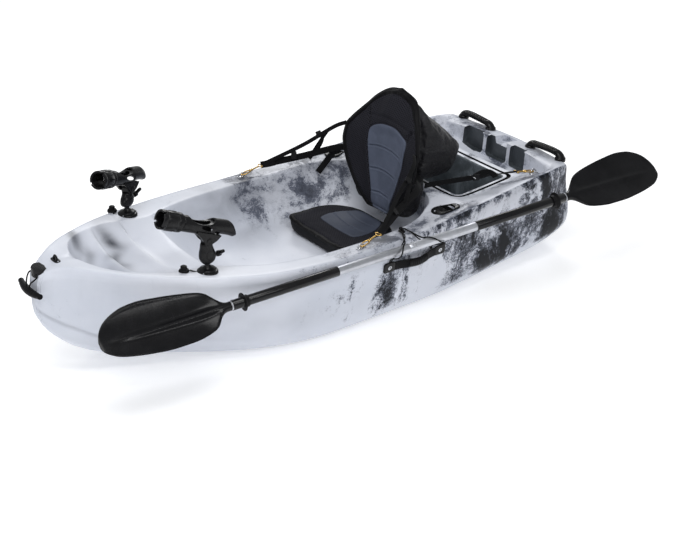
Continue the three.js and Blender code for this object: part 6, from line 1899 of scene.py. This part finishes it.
    cx, cy = (611, 234) if side > 0 else (581, -299)
    cz = float(deck(cx, abs(cy)))
    cap = lathe("cap", [(0, -2), (15, -2), (15.6, 0.8), (16.8, 2.2), (17, 3.4), (16.4, 5), (15, 8.2), (13.8, 9.2), (10.8, 10), (10.2, 11.4), (10.4, 17.6), (9.8, 19.6), (8.2, 20.8), (0, 21)], 48, M["rubber"])
    move(cap, T(cx, cy, cz - 0.5))
    cut_by_hull(cap)
    cap.name = f"rod_socket_cap_{tag}"
    mark_sharp(cap, 48)
    stand_for(cap, f"rod_base_cap_{tag}", "hull")

# ------------------------------------------------------------------ carried-over nodes
FINISH = {
    "drain_plug": "black", "bungee_eye": "black", "bow_deck_eye": "black", "bow_toggle_eye": "black", "flush_": "black",
    "stern_handle": "black", "side_handle_plate": "black", "side_handle_": "rubber", "rod_base_cap": "rubber", "rod_cap": "rubber",
    "rod_": "black", "paddle_blade": "blade", "seat_eyelet": "steel", "paddle_button": "steel", "paddle_shaft": "alu",
    "paddle_sleeve": "sleeve", "snap_hook": "brass", "paddle_drip": "rubber", "bow_toggle_grip": "rubber", "seat_strap": "webbing",
    "paddle_bungee": "cord", "bow_toggle_cord": "cord", "seat_": "webbing",
}
for name, ob in NODES.items():
    if name == "hull":
        continue
    for key, mat in FINISH.items():
        if name.startswith(key):
            for i in range(len(ob.material_slots)):
                ob.material_slots[i].material = M[mat]
            break

for body, heads in SCREWS.items():
    o = join(f"screws_{body}", heads)
    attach(o, body)

# ------------------------------------------------------------------ stage and light
floor = mesh_object("floor", [(-30, -30, 0), (30, -30, 0), (30, 30, 0), (-30, 30, 0)], [(0, 1, 2, 3)], shade=False)
fm = Mat("floor_pale")
fm.set(Base_Color=fm.mixc(fm.noise(3, 3, 0.5), (0.90, 0.905, 0.91), (0.93, 0.93, 0.935)), Roughness=0.9, Emission_Color=(1.0, 1.0, 1.0, 1.0), Emission_Strength=0.30)
floor.data.materials.append(fm.m)

world = bpy.data.worlds.new("studio")
scene.world = world
world.use_nodes = True
world.node_tree.nodes["Background"].inputs[0].default_value = (0.97, 0.985, 1.0, 1)
world.node_tree.nodes["Background"].inputs[1].default_value = 0.44


def area(name, at, look, size, power, color=(1, 1, 1)):
    light = bpy.data.lights.new(name, "AREA")
    light.shape = "RECTANGLE"
    light.size, light.size_y = size
    light.energy = power
    light.color = color
    ob = bpy.data.objects.new(name, light)
    ob.location = at
    ob.rotation_euler = (Vector(look) - Vector(at)).to_track_quat("-Z", "Y").to_euler()
    scene.collection.objects.link(ob)


area("key", (1.0, 1.2, 4.2), (-0.1, 0, 0.2), (2.6, 1.6), 70)
area("strip", (0.9, 3.0, 2.9), (-0.1, 0.3, 0.2), (3.4, 0.22), 34)
area("fill", (4.2, 1.6, 2.2), (0, 0, 0.2), (1.6, 1.6), 20)
area("rim", (-2.6, -3.4, 3.2), (-0.2, 0, 0.3), (2.6, 1.2), 85)
